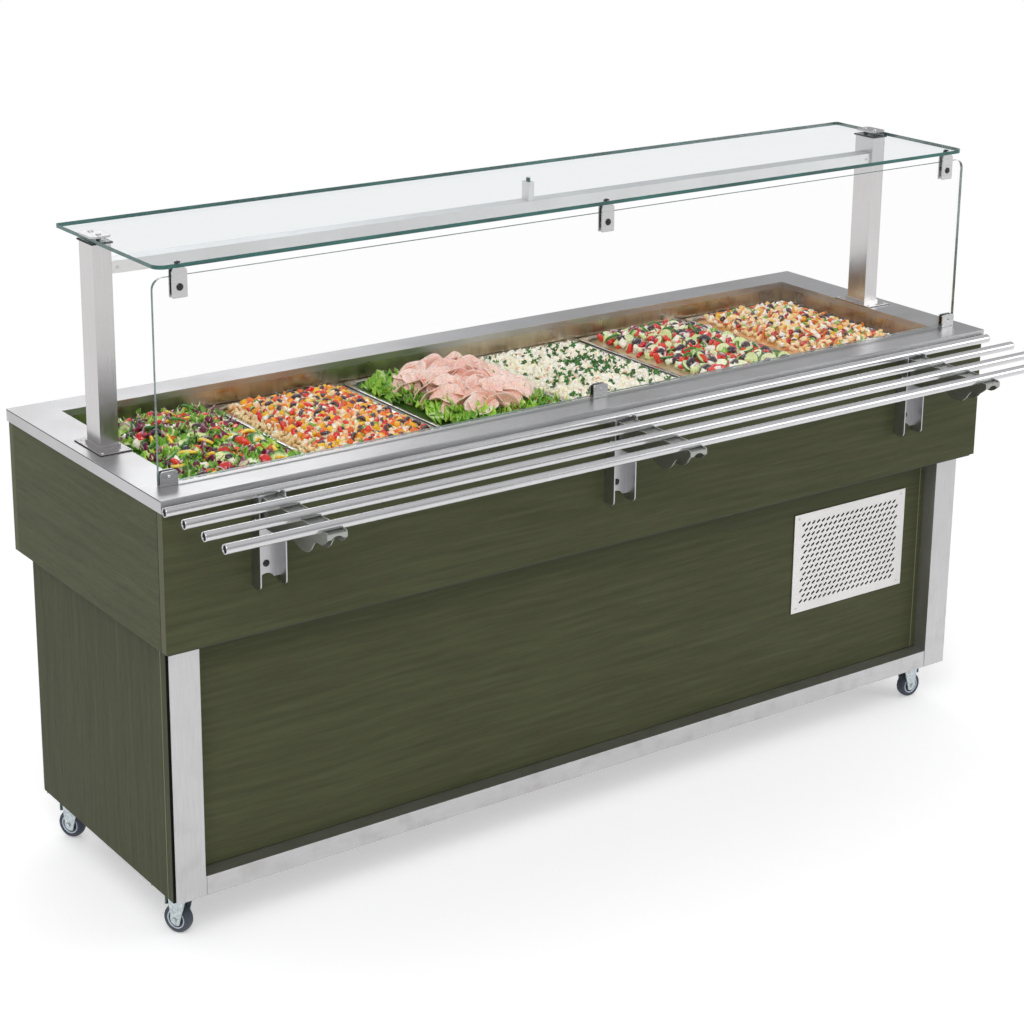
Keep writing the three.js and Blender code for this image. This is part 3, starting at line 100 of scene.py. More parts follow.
GRILLE_COLUMNS = 20
GRILLE_ROWS = 15
GRILLE_FIELD = (0.310, 0.208)
GRILLE_SLANT = math.radians(35)
GRILLE_END_STEPS = 7

TUBE_SIDES = 56
WHEEL_SIDES = 64
WHEEL_RADIUS = 31 * MM
WHEEL_HALF_WIDTH = 12 * MM
TREAD_STEPS = 8
TREAD_CROWN = 2.2 * MM
HUB_RADIUS = 21 * MM
HUB_RECESS = 2.2 * MM

# Height of the painted shade band along the top of the base frame.
LEDGE_SHADE_BAND = 8 * MM
CORNER_POST_X = 1.008
FRONT_SEAM_X = 0.996
SIDE_SEAM_INSET = 23 * MM

# Radius and height of each kind of screw head.
DOME_CLIP = (7.4 * MM, 3.6 * MM)
DOME_STEM = (6.2 * MM, 3.0 * MM)
DOME_SMALL = (3.6 * MM, 1.7 * MM)
DOME_PIN = (7.0 * MM, 2.2 * MM)
TOP_CLIP_BOLT_RISE = 21 * MM
BOTTOM_CLIP_SCREW_RISE = 19.7 * MM
CHANNEL_BOLT_RISE = 42 * MM
CHANNEL_WEB = 3 * MM
BEAM_SCREW_RISE = 12.5 * MM
FOOT_PLATE = 3 * MM
POST_HALF = (20 * MM, 30 * MM)

# Points closer than these are one point, and a cell's edge within LEVEL of an axis lies along it.
SAME_POINT = 1e-7
SAME_FOOD_POINT = 1e-6
SAME_GRILLE_POINT = 2e-6
LEVEL = 1e-9

# ------------------------------------------------------------------ camera and studio
CAMERA_AT = (-2.9483, -3.9005, 2.4328)
CAMERA_AZIMUTH = math.radians(-35.76)
CAMERA_ELEVATION = math.radians(16.29)
CAMERA_ROLL = math.radians(0.6)
CAMERA_SENSOR = 36.0
CAMERA_LENS = 81.27
CAMERA_SHIFT_Y = -0.14
CAMERA_REACH = 200.0
FLOOR_RADIUS = 60.0
FLOOR_DROP = 0.0005
# The floor turns to plain white between these distances from its middle, and glows a little before.
FLOOR_NEAR = 1.25
FLOOR_FAR = 2.6
FLOOR_LIFT = 0.30
# Each light: name, place, target, width and height, and the setting that holds its power.
LIGHTS = (
    ("key", (-3.2, -3.6, 4.6), (0, 0, 0.7), (3.2, 2.4), "key_power"),
    ("fill", (4.2, -3.4, 2.6), (0.2, 0, 0.7), (2.6, 2.2), "fill_power"),
    ("back", (0.5, 4.2, 3.6), (0, 0, 0.9), (3.4, 1.6), "fill_power"),
)


def srgb(code):
    """Linear colour of a six-digit sRGB hex code."""
    values = [int(code[i:i + 2], 16) / 255 for i in (0, 2, 4)]
    return tuple(v / 12.92 if v <= 0.04045 else ((v + 0.055) / 1.055) ** 2.4 for v in values) + (1.0,)


def shaded(colour, factor):
    """Linear colour made darker or paler, up to full white."""
    return tuple(min(1.0, value * factor) for value in colour[:3]) + (1.0,)


# ------------------------------------------------------------------ node helpers
def feed(tree, socket, value):
    """Links another node's output to the socket, or sets the socket's own value."""
    if isinstance(value, bpy.types.NodeSocket):
        tree.links.new(value, socket)
    else:
        socket.default_value = value


def add(tree, kind, inputs=None, **settings):
    """New node; inputs maps a socket's name or index to a value or to another node's output socket."""
    node = tree.nodes.new(kind)
    for key, value in settings.items():
        setattr(node, key, value)
    for key, value in (inputs or {}).items():
        feed(tree, node.inputs[key], value)
    return node


def maths(tree, operation, a, b=0.0, c=0.0, clamp=False):
    return add(tree, "ShaderNodeMath", {0: a, 1: b, 2: c}, operation=operation, use_clamp=clamp).outputs[0]


def mix_colour(tree, factor, a, b, blend="MIX"):
    node = add(tree, "ShaderNodeMix", {"Factor": factor}, data_type="RGBA", blend_type=blend)
    feed(tree, node.inputs[6], a)
    feed(tree, node.inputs[7], b)
    return node.outputs[2]


def ramp(tree, factor, stops):
    """Colour ramp; stops holds (position, colour)."""
    node = add(tree, "ShaderNodeValToRGB", {"Fac": factor})
    elements = node.color_ramp.elements
    while len(elements) < len(stops):
        elements.new(0.5)
    for element, (position, colour) in zip(elements, stops):
        element.position = position
        element.color = colour
    return node.outputs["Color"]


def span(tree, value, low, high, to_low=0.0, to_high=1.0):
    """Smoothly maps value from low..high to to_low..to_high, clamped."""
    node = add(tree, "ShaderNodeMapRange", {
        "Value": value, "From Min": low, "From Max": high, "To Min": to_low, "To Max": to_high,
    }, interpolation_type="SMOOTHSTEP")
    return node.outputs["Result"]


def near(tree, value, centre, half_width):
    """1 where value is within half_width of centre, and 0 elsewhere."""
    return maths(tree, "COMPARE", value, centre, half_width)


def stretched(tree, vector, scale, detail=3.0, size=1.0, roughness=0.55):
    """Noise with its own scale along each axis."""
    mapping = add(tree, "ShaderNodeMapping", {"Vector": vector, "Scale": scale})
    texture = add(tree, "ShaderNodeTexNoise", {
        "Vector": mapping.outputs["Vector"], "Scale": size, "Detail": detail, "Roughness": roughness,
    })
    return texture.outputs["Fac"]


def place_on(tree):
    """The point's place in the object's own coordinates, which are the frame's."""
    return add(tree, "ShaderNodeTexCoord").outputs["Object"]


def axes_of(tree, vector):
    return add(tree, "ShaderNodeSeparateXYZ", {"Vector": vector}).outputs


def fine_noise(tree, vector, scale, detail=3.0):
    texture = add(tree, "ShaderNodeTexNoise", {"Vector": vector, "Scale": scale, "Detail": detail})
    return texture.outputs["Fac"]


def dusted(tree, wear, share, under, code):
    """The colour under, with the wear group's dust over it in the given hex colour."""
    return mix_colour(tree, maths(tree, "MULTIPLY", wear.outputs["Dust"], share), under, srgb(code))


def socket_in(tree, name, kind, default=None):
    item = tree.interface.new_socket(name, in_out="INPUT", socket_type=kind)
    if default is not None:
        item.default_value = default
    return item


def socket_out(tree, name, kind):
    return tree.interface.new_socket(name, in_out="OUTPUT", socket_type=kind)


# ------------------------------------------------------------------ shared shader groups
def brush_group():
    """Streaks of a brushed metal along the axis whose Scale is small, and soft clouds for painted reflection.
    """
    tree = bpy.data.node_groups.new("BrushedStreaks", "ShaderNodeTree")
    socket_in(tree, "Scale", "NodeSocketVector", (10.0, 600.0, 600.0))
    socket_out(tree, "Streak", "NodeSocketFloat")
    socket_out(tree, "Cloud", "NodeSocketFloat")
    source = add(tree, "NodeGroupInput")
    where = place_on(tree)
    mapping = add(tree, "ShaderNodeMapping", {"Vector": where, "Scale": source.outputs["Scale"]})
    fine = add(tree, "ShaderNodeTexNoise", {
        "Vector": mapping.outputs["Vector"], "Scale": 1.0, "Detail": 4.0, "Roughness": 0.7,
    })
    add(tree, "NodeGroupOutput", {"Streak": fine.outputs["Fac"], "Cloud": fine_noise(tree, where, 5.0)})
    return tree


def wear_group():
    """Fine dust and rubbed spots: a mask that is stronger near the floor."""
    tree = bpy.data.node_groups.new("DustAndRubs", "ShaderNodeTree")
    socket_in(tree, "Amount", "NodeSocketFloat", 0.5)
    socket_out(tree, "Dust", "NodeSocketFloat")
    socket_out(tree, "Rub", "NodeSocketFloat")
    source = add(tree, "NodeGroupInput")
    where = place_on(tree)
    height = axes_of(tree, where)["Z"]
    low = span(tree, height, 0.0, 0.5, 1.0, 0.15)
    patchy = span(tree, fine_noise(tree, where, 24.0, 6.0), 0.45, 0.75)
    dust = maths(tree, "MULTIPLY", maths(tree, "MULTIPLY", low, patchy), source.outputs["Amount"])
    rubs = stretched(tree, where, (40.0, 40.0, 160.0), 5.0)
    rub = maths(tree, "MULTIPLY", span(tree, rubs, 0.58, 0.8), source.outputs["Amount"])
    add(tree, "NodeGroupOutput", {"Dust": dust, "Rub": rub})
    return tree


def grain_group():
    """Wood grain pressed in a laminate: broad bands, long pores and short flecks."""
    tree = bpy.data.node_groups.new("LaminateGrain", "ShaderNodeTree")
    socket_in(tree, "Scale", "NodeSocketVector", (1.2, 30.0, 30.0))
    socket_out(tree, "Bands", "NodeSocketFloat")
    socket_out(tree, "Pores", "NodeSocketFloat")
    source = add(tree, "NodeGroupInput")
    where = place_on(tree)
    wobble = add(tree, "ShaderNodeTexNoise", {"Vector": where, "Scale": 3.0, "Detail": 2.0})
    bend = add(tree, "ShaderNodeVectorMath", {0: wobble.outputs["Color"], 1: (0.02, 0.02, 0.02)},
               operation="MULTIPLY").outputs[0]
    bent = add(tree, "ShaderNodeVectorMath", {0: where, 1: bend}, operation="ADD").outputs[0]
    mapping = add(tree, "ShaderNodeMapping", {"Vector": bent, "Scale": source.outputs["Scale"]})
    bands = add(tree, "ShaderNodeTexNoise", {
        "Vector": mapping.outputs["Vector"], "Scale": 1.0, "Detail": 5.0, "Roughness": 0.62,
    }).outputs["Fac"]
    fine = add(tree, "ShaderNodeTexNoise", {
        "Vector": mapping.outputs["Vector"], "Scale": 9.0, "Detail": 4.0, "Roughness": 0.7,
    }).outputs["Fac"]
    add(tree, "NodeGroupOutput", {"Bands": bands, "Pores": fine})
    return tree


def food_group():
    """Colour of a food piece from its own tone, a value per piece and small mottling."""
    tree = bpy.data.node_groups.new("FoodColour", "ShaderNodeTree")
    socket_in(tree, "Body", "NodeSocketColor")
    socket_in(tree, "Edge", "NodeSocketColor")
    socket_in(tree, "Other", "NodeSocketColor")
    socket_out(tree, "Color", "NodeSocketColor")
    socket_out(tree, "Mottle", "NodeSocketFloat")
    source = add(tree, "NodeGroupInput")
    tone = add(tree, "ShaderNodeAttribute", attribute_name="tone").outputs["Fac"]
    shade = add(tree, "ShaderNodeAttribute", attribute_name="shade").outputs["Fac"]
    where = place_on(tree)
    mottle = fine_noise(tree, where, 260.0)
    pieces = mix_colour(tree, span(tree, shade, 0.15, 0.95), source.outputs["Body"], source.outputs["Other"])
    toned = mix_colour(tree, tone, pieces, source.outputs["Edge"])
    lit = span(tree, mottle, 0.25, 0.75, 0.88, 1.30)
    grey = add(tree, "ShaderNodeCombineColor", {0: lit, 1: lit, 2: lit}).outputs[0]
    add(tree, "NodeGroupOutput", {"Color": mix_colour(tree, 1.0, toned, grey, "MULTIPLY"), "Mottle": mottle})
    return tree


# The shader groups made so far, by name.
GROUPS = {}


def group(tree, name, inputs=None):
    """Places a shared group, which is made at its first use."""
    makers = {"brush": brush_group, "wear": wear_group, "grain": grain_group, "food": food_group}
    if name not in GROUPS:
        GROUPS[name] = makers[name]()
    node = tree.nodes.new("ShaderNodeGroup")
    node.node_tree = GROUPS[name]
    for key, value in (inputs or {}).items():
        feed(tree, node.inputs[key], value)
    return node


# The materials made so far, by name.
MATERIALS = {}


def material(name):
    """New material with an empty node tree and its output node."""
    made = bpy.data.materials.new(name)
    made.use_nodes = True
    tree = made.node_tree
    tree.nodes.clear()
    out = tree.nodes.new("ShaderNodeOutputMaterial")
    MATERIALS[name] = made
    return made, tree, out


def finish_principled(tree, out, inputs, bump=None, strength=0.1, distance=0.0002, edge=0.0):
    """Principled shader with an optional bump over a slightly rounded edge normal."""
    shader = add(tree, "ShaderNodeBsdfPrincipled", inputs)
    normal = None
    if edge > 0:
        normal = add(tree, "ShaderNodeBevel", {"Radius": edge}, samples=4).outputs["Normal"]
    if bump is not None:
        node = add(tree, "ShaderNodeBump", {"Height": bump, "Strength": strength, "Distance": distance})
        if normal is not None:
            tree.links.new(normal, node.inputs["Normal"])
        normal = node.outputs["Normal"]
    if normal is not None:
        tree.links.new(normal, shader.inputs["Normal"])
    tree.links.new(shader.outputs[0], out.inputs["Surface"])


# ------------------------------------------------------------------ materials
BRUSH_ALONG = {"x": (14.0, 900.0, 900.0), "y": (900.0, 14.0, 900.0), "z": (900.0, 900.0, 14.0)}


def steel(name, along="x", colour="c9c8c9", rough=0.3, contrast=0.12, edge=0.8 * MM, recess_shade=None):
    """Brushed stainless steel; the last argument names an attribute that paints shade on it, dark as in a
    recess.
    """
    made, tree, out = material(name)
    brush = group(tree, "brush", {"Scale": BRUSH_ALONG[along]})
    wear = group(tree, "wear", {"Amount": 0.35})
    base = srgb(colour)
    streaks = ramp(tree, brush.outputs["Streak"], [
        (0.25, shaded(base, 1 - contrast)), (0.75, shaded(base, 1 + contrast * 0.6)),
    ])
    # Soft darker clouds over the streaks: painted reflection of the surroundings.
    reflection_haze = span(tree, brush.outputs["Cloud"], 0.35, 0.7, 0.0, 0.14)
    reflection_clouded = mix_colour(tree, reflection_haze, streaks, (0.42, 0.41, 0.4, 1))
    dusty = dusted(tree, wear, 0.3, reflection_clouded, "8c8a84")
    colour_out = dusty
    # Painted shade: dark where the attribute is 1, as in a recess.
    if recess_shade:
        tone = add(tree, "ShaderNodeAttribute", attribute_name=recess_shade).outputs["Fac"]
        colour_out = mix_colour(tree, tone, dusty, srgb("2c2d2f"))
    roughness = span(tree, brush.outputs["Streak"], 0.2, 0.8, rough - 0.06, rough + 0.09)
    finish_principled(tree, out, {
        "Base Color": colour_out, "Metallic": 1.0, "Roughness": roughness,
    }, bump=brush.outputs["Streak"], strength=0.06, edge=edge)
    return made


def frame_steel():
    """The base frame: rails brushed along X and corner posts brushed upwards, with painted shade along its
    top under the upper boards.
    """
    made, tree, out = material("base_steel")
    where = place_on(tree)
    parts = axes_of(tree, where)
    at_post = maths(tree, "GREATER_THAN", maths(tree, "ABSOLUTE", parts["X"]), CORNER_POST_X)
    level = group(tree, "brush", {"Scale": BRUSH_ALONG["x"]})
    upright = group(tree, "brush", {"Scale": BRUSH_ALONG["z"]})
    flip = add(tree, "ShaderNodeMix", {0: at_post, 2: level.outputs["Streak"], 3: upright.outputs["Streak"]},
               data_type="FLOAT").outputs[0]
    wear = group(tree, "wear", {"Amount": 0.6})
    tone = ramp(tree, flip, [(0.25, srgb("bab9ba")), (0.75, srgb("d0cfd0"))])
    # Soft darker clouds: painted reflection of the surroundings.
    reflection_cloud = mix_colour(tree, span(tree, level.outputs["Cloud"], 0.4, 0.7, 0.0, 0.12), tone, srgb("a3a09c"))
    dusty = dusted(tree, wear, 0.45, reflection_cloud, "8a877f")
    # Painted shade under the upper boards: the top of the base frame is coloured dark olive there and is not
    # metallic.
    ledge_shade = maths(tree, "GREATER_THAN", parts["Z"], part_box("base_frame")[1].z - LEDGE_SHADE_BAND)
    ledge_shaded = mix_colour(tree, ledge_shade, dusty, srgb("2b2d20"))
    metal = span(tree, ledge_shade, 0.0, 1.0, 0.95, 0.0)
    roughness = span(tree, flip, 0.2, 0.8, 0.3, 0.45)
    finish_principled(tree, out, {"Base Color": ledge_shaded, "Metallic": metal, "Roughness": roughness},
                      bump=flip, strength=0.05, edge=1.0 * MM)
    return made


GRAIN_ALONG = {"x": (4.0, 85.0, 85.0), "y": (85.0, 4.0, 85.0), "z": (85.0, 85.0, 4.0)}


def laminate(name, along, colour, lines=(), band_normal=None):
    """Grained laminate, with optional lines and paler end faces across the axis band_normal.

    Each line is (axis, place, half width, hex colour); a dark line is painted shade in a gap.
    """
    made, tree, out = material(name)
    grain = group(tree, "grain", {"Scale": GRAIN_ALONG[along]})
    wear = group(tree, "wear", {"Amount": 0.4})
    base = (*colour, 1.0)
    bands = ramp(tree, grain.outputs["Bands"], [
        (0.3, shaded(base, 0.80)), (0.52, base), (0.74, shaded(base, 1.24)),
    ])
    pores = span(tree, grain.outputs["Pores"], 0.56, 0.74)
    pored = mix_colour(tree, maths(tree, "MULTIPLY", pores, 0.34), bands, shaded(base, 0.62))
    flecks = span(tree, grain.outputs["Pores"], 0.44, 0.3)
    flecked = mix_colour(tree, maths(tree, "MULTIPLY", flecks, 0.20), pored, shaded(base, 1.55))
    dusty = dusted(tree, wear, 0.03, flecked, "7d7c62")
    where = place_on(tree)
    parts = axes_of(tree, where)
    for axis, place, half, code in lines:
        dusty = mix_colour(tree, near(tree, parts[axis], place, half), dusty, srgb(code))
    if band_normal:
        normal = add(tree, "ShaderNodeNewGeometry").outputs["True Normal"]
        facing = axes_of(tree, normal)[band_normal]
        end = maths(tree, "GREATER_THAN", maths(tree, "ABSOLUTE", facing), 0.9)
        dusty = mix_colour(tree, maths(tree, "MULTIPLY", end, 0.55), dusty, srgb("6f6f58"))
    roughness = span(tree, grain.outputs["Pores"], 0.3, 0.7, 0.46, 0.6)
    finish_principled(tree, out, {"Base Color": dusty, "Roughness": roughness, "Specular IOR Level": 0.12},
                      bump=grain.outputs["Pores"], strength=0.18, distance=0.0003, edge=0.7 * MM)
    return made


def glass(name, axis, tint, edge_dark, edge_light, film, gloss_share):
    """Clear sheet glass: see-through on the broad faces, across the given axis, with tinted cut edges and
    painted light along them.
    """
    made, tree, out = material(name)
    geometry = add(tree, "ShaderNodeNewGeometry")
    facing = axes_of(tree, geometry.outputs["True Normal"])[axis]
    broad = maths(tree, "GREATER_THAN", maths(tree, "ABSOLUTE", facing), 0.8)
    where = place_on(tree)
    smear = stretched(tree, where, (3.0, 9.0, 9.0), 4.0)
    clear = add(tree, "ShaderNodeBsdfTransparent", {"Color": srgb(tint)})
    gloss = add(tree, "ShaderNodeBsdfGlossy", {
        "Color": WHITE, "Roughness": span(tree, smear, 0.3, 0.8, 0.01, 0.05),
    })
    fresnel = add(tree, "ShaderNodeFresnel", {"IOR": 1.45}).outputs[0]
    shine = maths(tree, "MULTIPLY", fresnel, gloss_share)
    sheet = add(tree, "ShaderNodeMixShader", {0: shine, 1: clear.outputs[0], 2: gloss.outputs[0]})
    veil = add(tree, "ShaderNodeBsdfDiffuse", {"Color": srgb("e4ecea")})
    misted = add(tree, "ShaderNodeMixShader", {
        0: span(tree, smear, 0.3, 0.8, film * 0.6, film), 1: sheet.outputs[0], 2: veil.outputs[0],
    })
    # Paler patches along the cut edges: painted light carried through the glass.
    glow = stretched(tree, where, (9.0, 60.0, 60.0), 3.0)
    edge_tone = ramp(tree, glow, [(0.35, (*edge_dark, 1.0)), (0.72, srgb(edge_light))])
    edge = add(tree, "ShaderNodeBsdfPrincipled", {
        "Base Color": edge_tone, "Roughness": 0.18, "Transmission Weight": 0.15, "Coat Weight": 0.4,
    })
    both = add(tree, "ShaderNodeMixShader", {0: broad, 1: edge.outputs[0], 2: misted.outputs[0]})
    tree.links.new(both.outputs[0], out.inputs["Surface"])
    return made


def plastic(name, colour, rough=0.5, speckle=0.12, coat=0.0, metallic=0.0, scale=900.0, edge=0.6 * MM):
    """Moulded or painted surface with fine texture and a little dust."""
    made, tree, out = material(name)
    where = place_on(tree)
    fine = fine_noise(tree, where, scale)
    wear = group(tree, "wear", {"Amount": 0.6})
    base = srgb(colour)
    tone = ramp(tree, fine, [(0.3, shaded(base, 1 - speckle)), (0.7, shaded(base, 1 + speckle))])
    dusty = dusted(tree, wear, 0.25, tone, "9a968c")
    roughness = span(tree, wear.outputs["Rub"], 0.0, 0.3, rough, rough - 0.1)
    finish_principled(tree, out, {
        "Base Color": dusty, "Roughness": roughness, "Coat Weight": coat, "Metallic": metallic,
    }, bump=fine, strength=0.12, edge=edge)
    return made


def zinc(name):
    """Zinc plating: pale bluish, faintly spangled."""
    made, tree, out = material(name)
    where = place_on(tree)
    spangle = add(tree, "ShaderNodeTexVoronoi", {"Vector": where, "Scale": 260.0}).outputs["Color"]
    grey = add(tree, "ShaderNodeRGBToBW", {"Color": spangle}).outputs[0]
    wear = group(tree, "wear", {"Amount": 0.8})
    tone = ramp(tree, grey, [(0.2, srgb("aeb8bc")), (0.8, srgb("d3dcde"))])
    dusty = dusted(tree, wear, 0.3, tone, "7f7d76")
    finish_principled(tree, out, {
        "Base Color": dusty, "Metallic": 0.85, "Roughness": span(tree, grey, 0.0, 1.0, 0.26, 0.42),
    }, bump=grey, strength=0.05, edge=0.5 * MM)
    return made


def food(name, body, edge, other, rough, coat, subsurface):
    """Food: body colour, colour at the piece's edges or skin (on ham, painted light on its upper folds), and
    the colour some pieces lean to.
    """
    made, tree, out = material(name)
    tones = group(tree, "food", {"Body": srgb(body), "Edge": srgb(edge), "Other": srgb(other)})
    finish_principled(tree, out, {
        "Base Color": tones.outputs["Color"], "Roughness": rough, "Coat Weight": coat, "Coat Roughness": 0.18,
        "Subsurface Weight": subsurface, "Subsurface Scale": 0.004,
    }, bump=tones.outputs["Mottle"], strength=0.35, distance=0.0012)
    return made


def well_steel():
    """Well walls: steel with a painted reflection of the food, in soft brown, gold and green patches."""
    made, tree, out = material("well_steel")
    brush = group(tree, "brush", {"Scale": BRUSH_ALONG["x"]})
    where = place_on(tree)
    height = axes_of(tree, where)["Z"]
    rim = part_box("counter_top")[1].z
    # The painted reflection of the food grows from the rim downwards.
    low = span(tree, height, rim + 2 * MM, rim - 54 * MM, 0.12, 0.85)
    patches = stretched(tree, where, (16.0, 16.0, 5.0), 3.0, 1.0, 0.6)
    painted_food_reflection = ramp(tree, patches, [
        (0.3, srgb("94876c")), (0.46, srgb("b09a78")), (0.58, srgb("d2c0a2")), (0.72, srgb("a09a6c")),
    ])
    streaks = ramp(tree, brush.outputs["Streak"], [(0.25, srgb("bab6ae")), (0.75, srgb("d2cec6"))])
    tone = mix_colour(tree, low, streaks, painted_food_reflection)
    finish_principled(tree, out, {
        "Base Color": tone, "Metallic": 1.0, "Roughness": span(tree, patches, 0.3, 0.7, 0.24, 0.36),
    }, bump=brush.outputs["Streak"], strength=0.05, edge=0.8 * MM)
    return made


def counter_steel():
    """Counter top: satin steel, with a seam where the end fascias meet the top."""
    made, tree, out = material("counter_steel")
    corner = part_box("counter_top")[1]
    brush = group(tree, "brush", {"Scale": BRUSH_ALONG["x"]})
    wear = group(tree, "wear", {"Amount": 0.5})
    where = place_on(tree)
    parts = axes_of(tree, where)
    tone = ramp(tree, brush.outputs["Streak"], [(0.25, srgb("b9b9bb")), (0.75, srgb("cdcdcf"))])
    # Soft darker clouds: painted reflection of the surroundings.
    reflection_cloud = mix_colour(tree, span(tree, brush.outputs["Cloud"], 0.38, 0.7, 0.0, 0.25), tone, srgb("96948f"))
    rubbed = mix_colour(tree, maths(tree, "MULTIPLY", wear.outputs["Rub"], 0.35), reflection_cloud, srgb("dcdcde"))
    from_middle = maths(tree, "ABSOLUTE", parts["X"])
    edge_x = span(tree, from_middle, corner.x - 0.4 * MM, corner.x - 0.2 * MM)
    seam = maths(tree, "MULTIPLY", edge_x, near(tree, parts["Z"], corner.z - 1.6 * MM, 1.0 * MM))
    seamed = mix_colour(tree, seam, rubbed, srgb("3c3d3f"))
    finish_principled(tree, out, {
        "Base Color": seamed, "Metallic": 0.95,
        "Roughness": span(tree, brush.outputs["Streak"], 0.2, 0.8, 0.27, 0.40),
    }, bump=brush.outputs["Streak"], strength=0.05, edge=0.9 * MM)
    return made


def make_materials(settings):
    """Every finish but the foods', which are made as the salads need them."""
    counter_steel()
    well_steel()
    frame_steel()
    steel("grid_steel", "y", "b5b4b2", rough=0.34)
    steel("pan_steel", "x", "c4c2bf", rough=0.24, contrast=0.08)
    steel("post_steel", "z", "cfcdcd", rough=0.2, contrast=0.10, edge=1.0 * MM)
    steel("plate_steel", "x", "c9c9ca", rough=0.28)
    # Much paler than the other steel: painted light on the beam where it is seen under the top glass.
    steel("beam_steel", "x", "f0f0ef", rough=0.5, contrast=0.05)
    steel("channel_steel", "z", "bdbdbf", rough=0.33)
    steel("arm_steel", "y", "a9aba6", rough=0.36)
    # The tubes' tone attribute paints shade in their sunk end caps.
    steel("tube_steel", "x", "d4d4d6", rough=0.19, contrast=0.10, edge=0.0, recess_shade="tone")
    steel("grille_steel", "x", "e2e1df", rough=0.42, contrast=0.06, edge=0.5 * MM)
    steel("screw_steel", "x", "d8d8da", rough=0.18, contrast=0.05, edge=0.0)
    steel("fin_aluminium", "z", "b8bcc0", rough=0.42)
    # The side boards are the same laminate as the front boards: the lower sides are painted darker as shade
    # and the upper sides paler as painted light.
    low_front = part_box("lower_panel_left")[0].y
    high_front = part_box("upper_panel_left")[0].y
    # The dark lines at the side boards' front edges are painted shade in the gaps beside the posts and front
    # boards.
    laminate("laminate_side_low", "z", settings.side_low_shaded_colour, lines=[
        ("Y", low_front + SIDE_SEAM_INSET, 0.9 * MM, "8d8d74"), ("Y", low_front, 1.6 * MM, "191a14"),
    ])
    laminate("laminate_side_high", "y", settings.side_high_lit_colour, lines=[
        ("Y", high_front, 1.8 * MM, "191a14"),
    ])
    laminate("laminate_front_high", "x", settings.front_colour, band_normal="X")
    laminate("laminate_front_low", "x", settings.front_colour, lines=[
        ("X", side * FRONT_SEAM_X, 1.0 * MM, "84846c") for side in (-1, 1)
    ])
    glass("glass_flat", "Z", tint="fafbfc", edge_dark=settings.top_glass_edge, edge_light="0d5f56",
          film=0.025, gloss_share=0.08)
    glass("glass_upright", "Y", tint="fefefe", edge_dark=settings.front_glass_edge, edge_light="6f8f8a",
          film=0.0, gloss_share=0.03)
    zinc("zinc_plate")
    plastic("tyre_rubber", "3c4450", rough=0.62, speckle=0.10)
    plastic("hub_nylon", "8fa0b8", rough=0.42, speckle=0.06, coat=0.2)
    plastic("ring_nylon", "cfdbe8", rough=0.4, speckle=0.04, coat=0.2)
    plastic("pedal_paint", "46605f", rough=0.38, speckle=0.08, coat=0.3, metallic=0.2)
    plastic("black_plastic", "1b1c1e", rough=0.45, speckle=0.2)
    plastic("gasket_rubber", "141516", rough=0.6, speckle=0.2)
    plastic("black_screw", "1d1e20", rough=0.22, speckle=0.1, coat=0.5, metallic=0.7, scale=300.0, edge=0.0)
    plastic("compressor_paint", "26282b", rough=0.5, speckle=0.15, coat=0.2)
    plastic("opal_diffuser", "f4f2ea", rough=0.4, speckle=0.02)
    plastic("display_black", "0c0f12", rough=0.12, speckle=0.1, coat=0.8)
    plastic("button_grey", "8b9094", rough=0.4, speckle=0.05, coat=0.3)


NODE_MATERIALS = {
    "counter_top": "counter_steel", "well_liner": "well_steel", "pan_support_grid": "grid_steel",
    "upper_panel_front": "laminate_front_high", "upper_panel_rear": "laminate_front_high",
    "upper_panel_left": "laminate_side_high", "upper_panel_right": "laminate_side_high",
    "lower_panel_front": "laminate_front_low", "lower_panel_rear": "laminate_front_low",
    "lower_panel_left": "laminate_side_low", "lower_panel_right": "laminate_side_low",
    "base_frame": "base_steel", "compressor": "compressor_paint", "condenser": "fin_aluminium",
    "condenser_fan": "black_plastic", "control_panel": "black_plastic", "power_switch": "black_plastic",
    "post_left": "post_steel", "post_right": "post_steel", "post_cap_left": "plate_steel",
    "post_cap_right": "plate_steel", "lamp_beam": "beam_steel", "lamp_diffuser": "opal_diffuser",
    "top_glass": "glass_flat", "front_glass": "glass_upright", "intake_grille": "grille_steel",
    "fixed_rail": "tube_steel",
}
PREFIX_MATERIALS = {
    "pan_": "pan_steel", "top_clip": "plate_steel", "bottom_clip": "plate_steel",
    "tray_channel": "channel_steel", "tray_arm": "arm_steel", "tray_rail": "tube_steel",
}
SUFFIX_MATERIALS = {"_fork": "zinc_plate", "_wheel": "tyre_rubber", "_pedal": "pedal_paint"}


def material_for(node):
    """Name of a frame node's material, by its whole name or else its ending or its start."""
    if node in NODE_MATERIALS:
        return NODE_MATERIALS[node]
    for ending, name in SUFFIX_MATERIALS.items():
        if node.endswith(ending):
            return name
    for start, name in PREFIX_MATERIALS.items():
        if node.startswith(start):
            return name
    raise RuntimeError(f"no material is set for {node}")


def dress_frame():
    """Puts each node's material on it."""
    for node, piece in frame["nodes"].items():
        chosen = MATERIALS[material_for(node)]
        for holder in piece.material_slots:
            holder.material = chosen


# ------------------------------------------------------------------ mesh helpers
def middle(low, high):
    return (low + high) / 2


def circle(radius, sides, z):
    """Evenly spaced points of a level circle round the Z axis."""
    angles = [2 * math.pi * i / sides for i in range(sides)]
    return [Vector((radius * math.cos(angle), radius * math.sin(angle), z)) for angle in angles]


def mesh_from(name, bm):
    """Mesh of a bmesh, which is freed."""
    mesh = bpy.data.meshes.new(name)
    bm.to_mesh(mesh)
    bm.free()
    return mesh


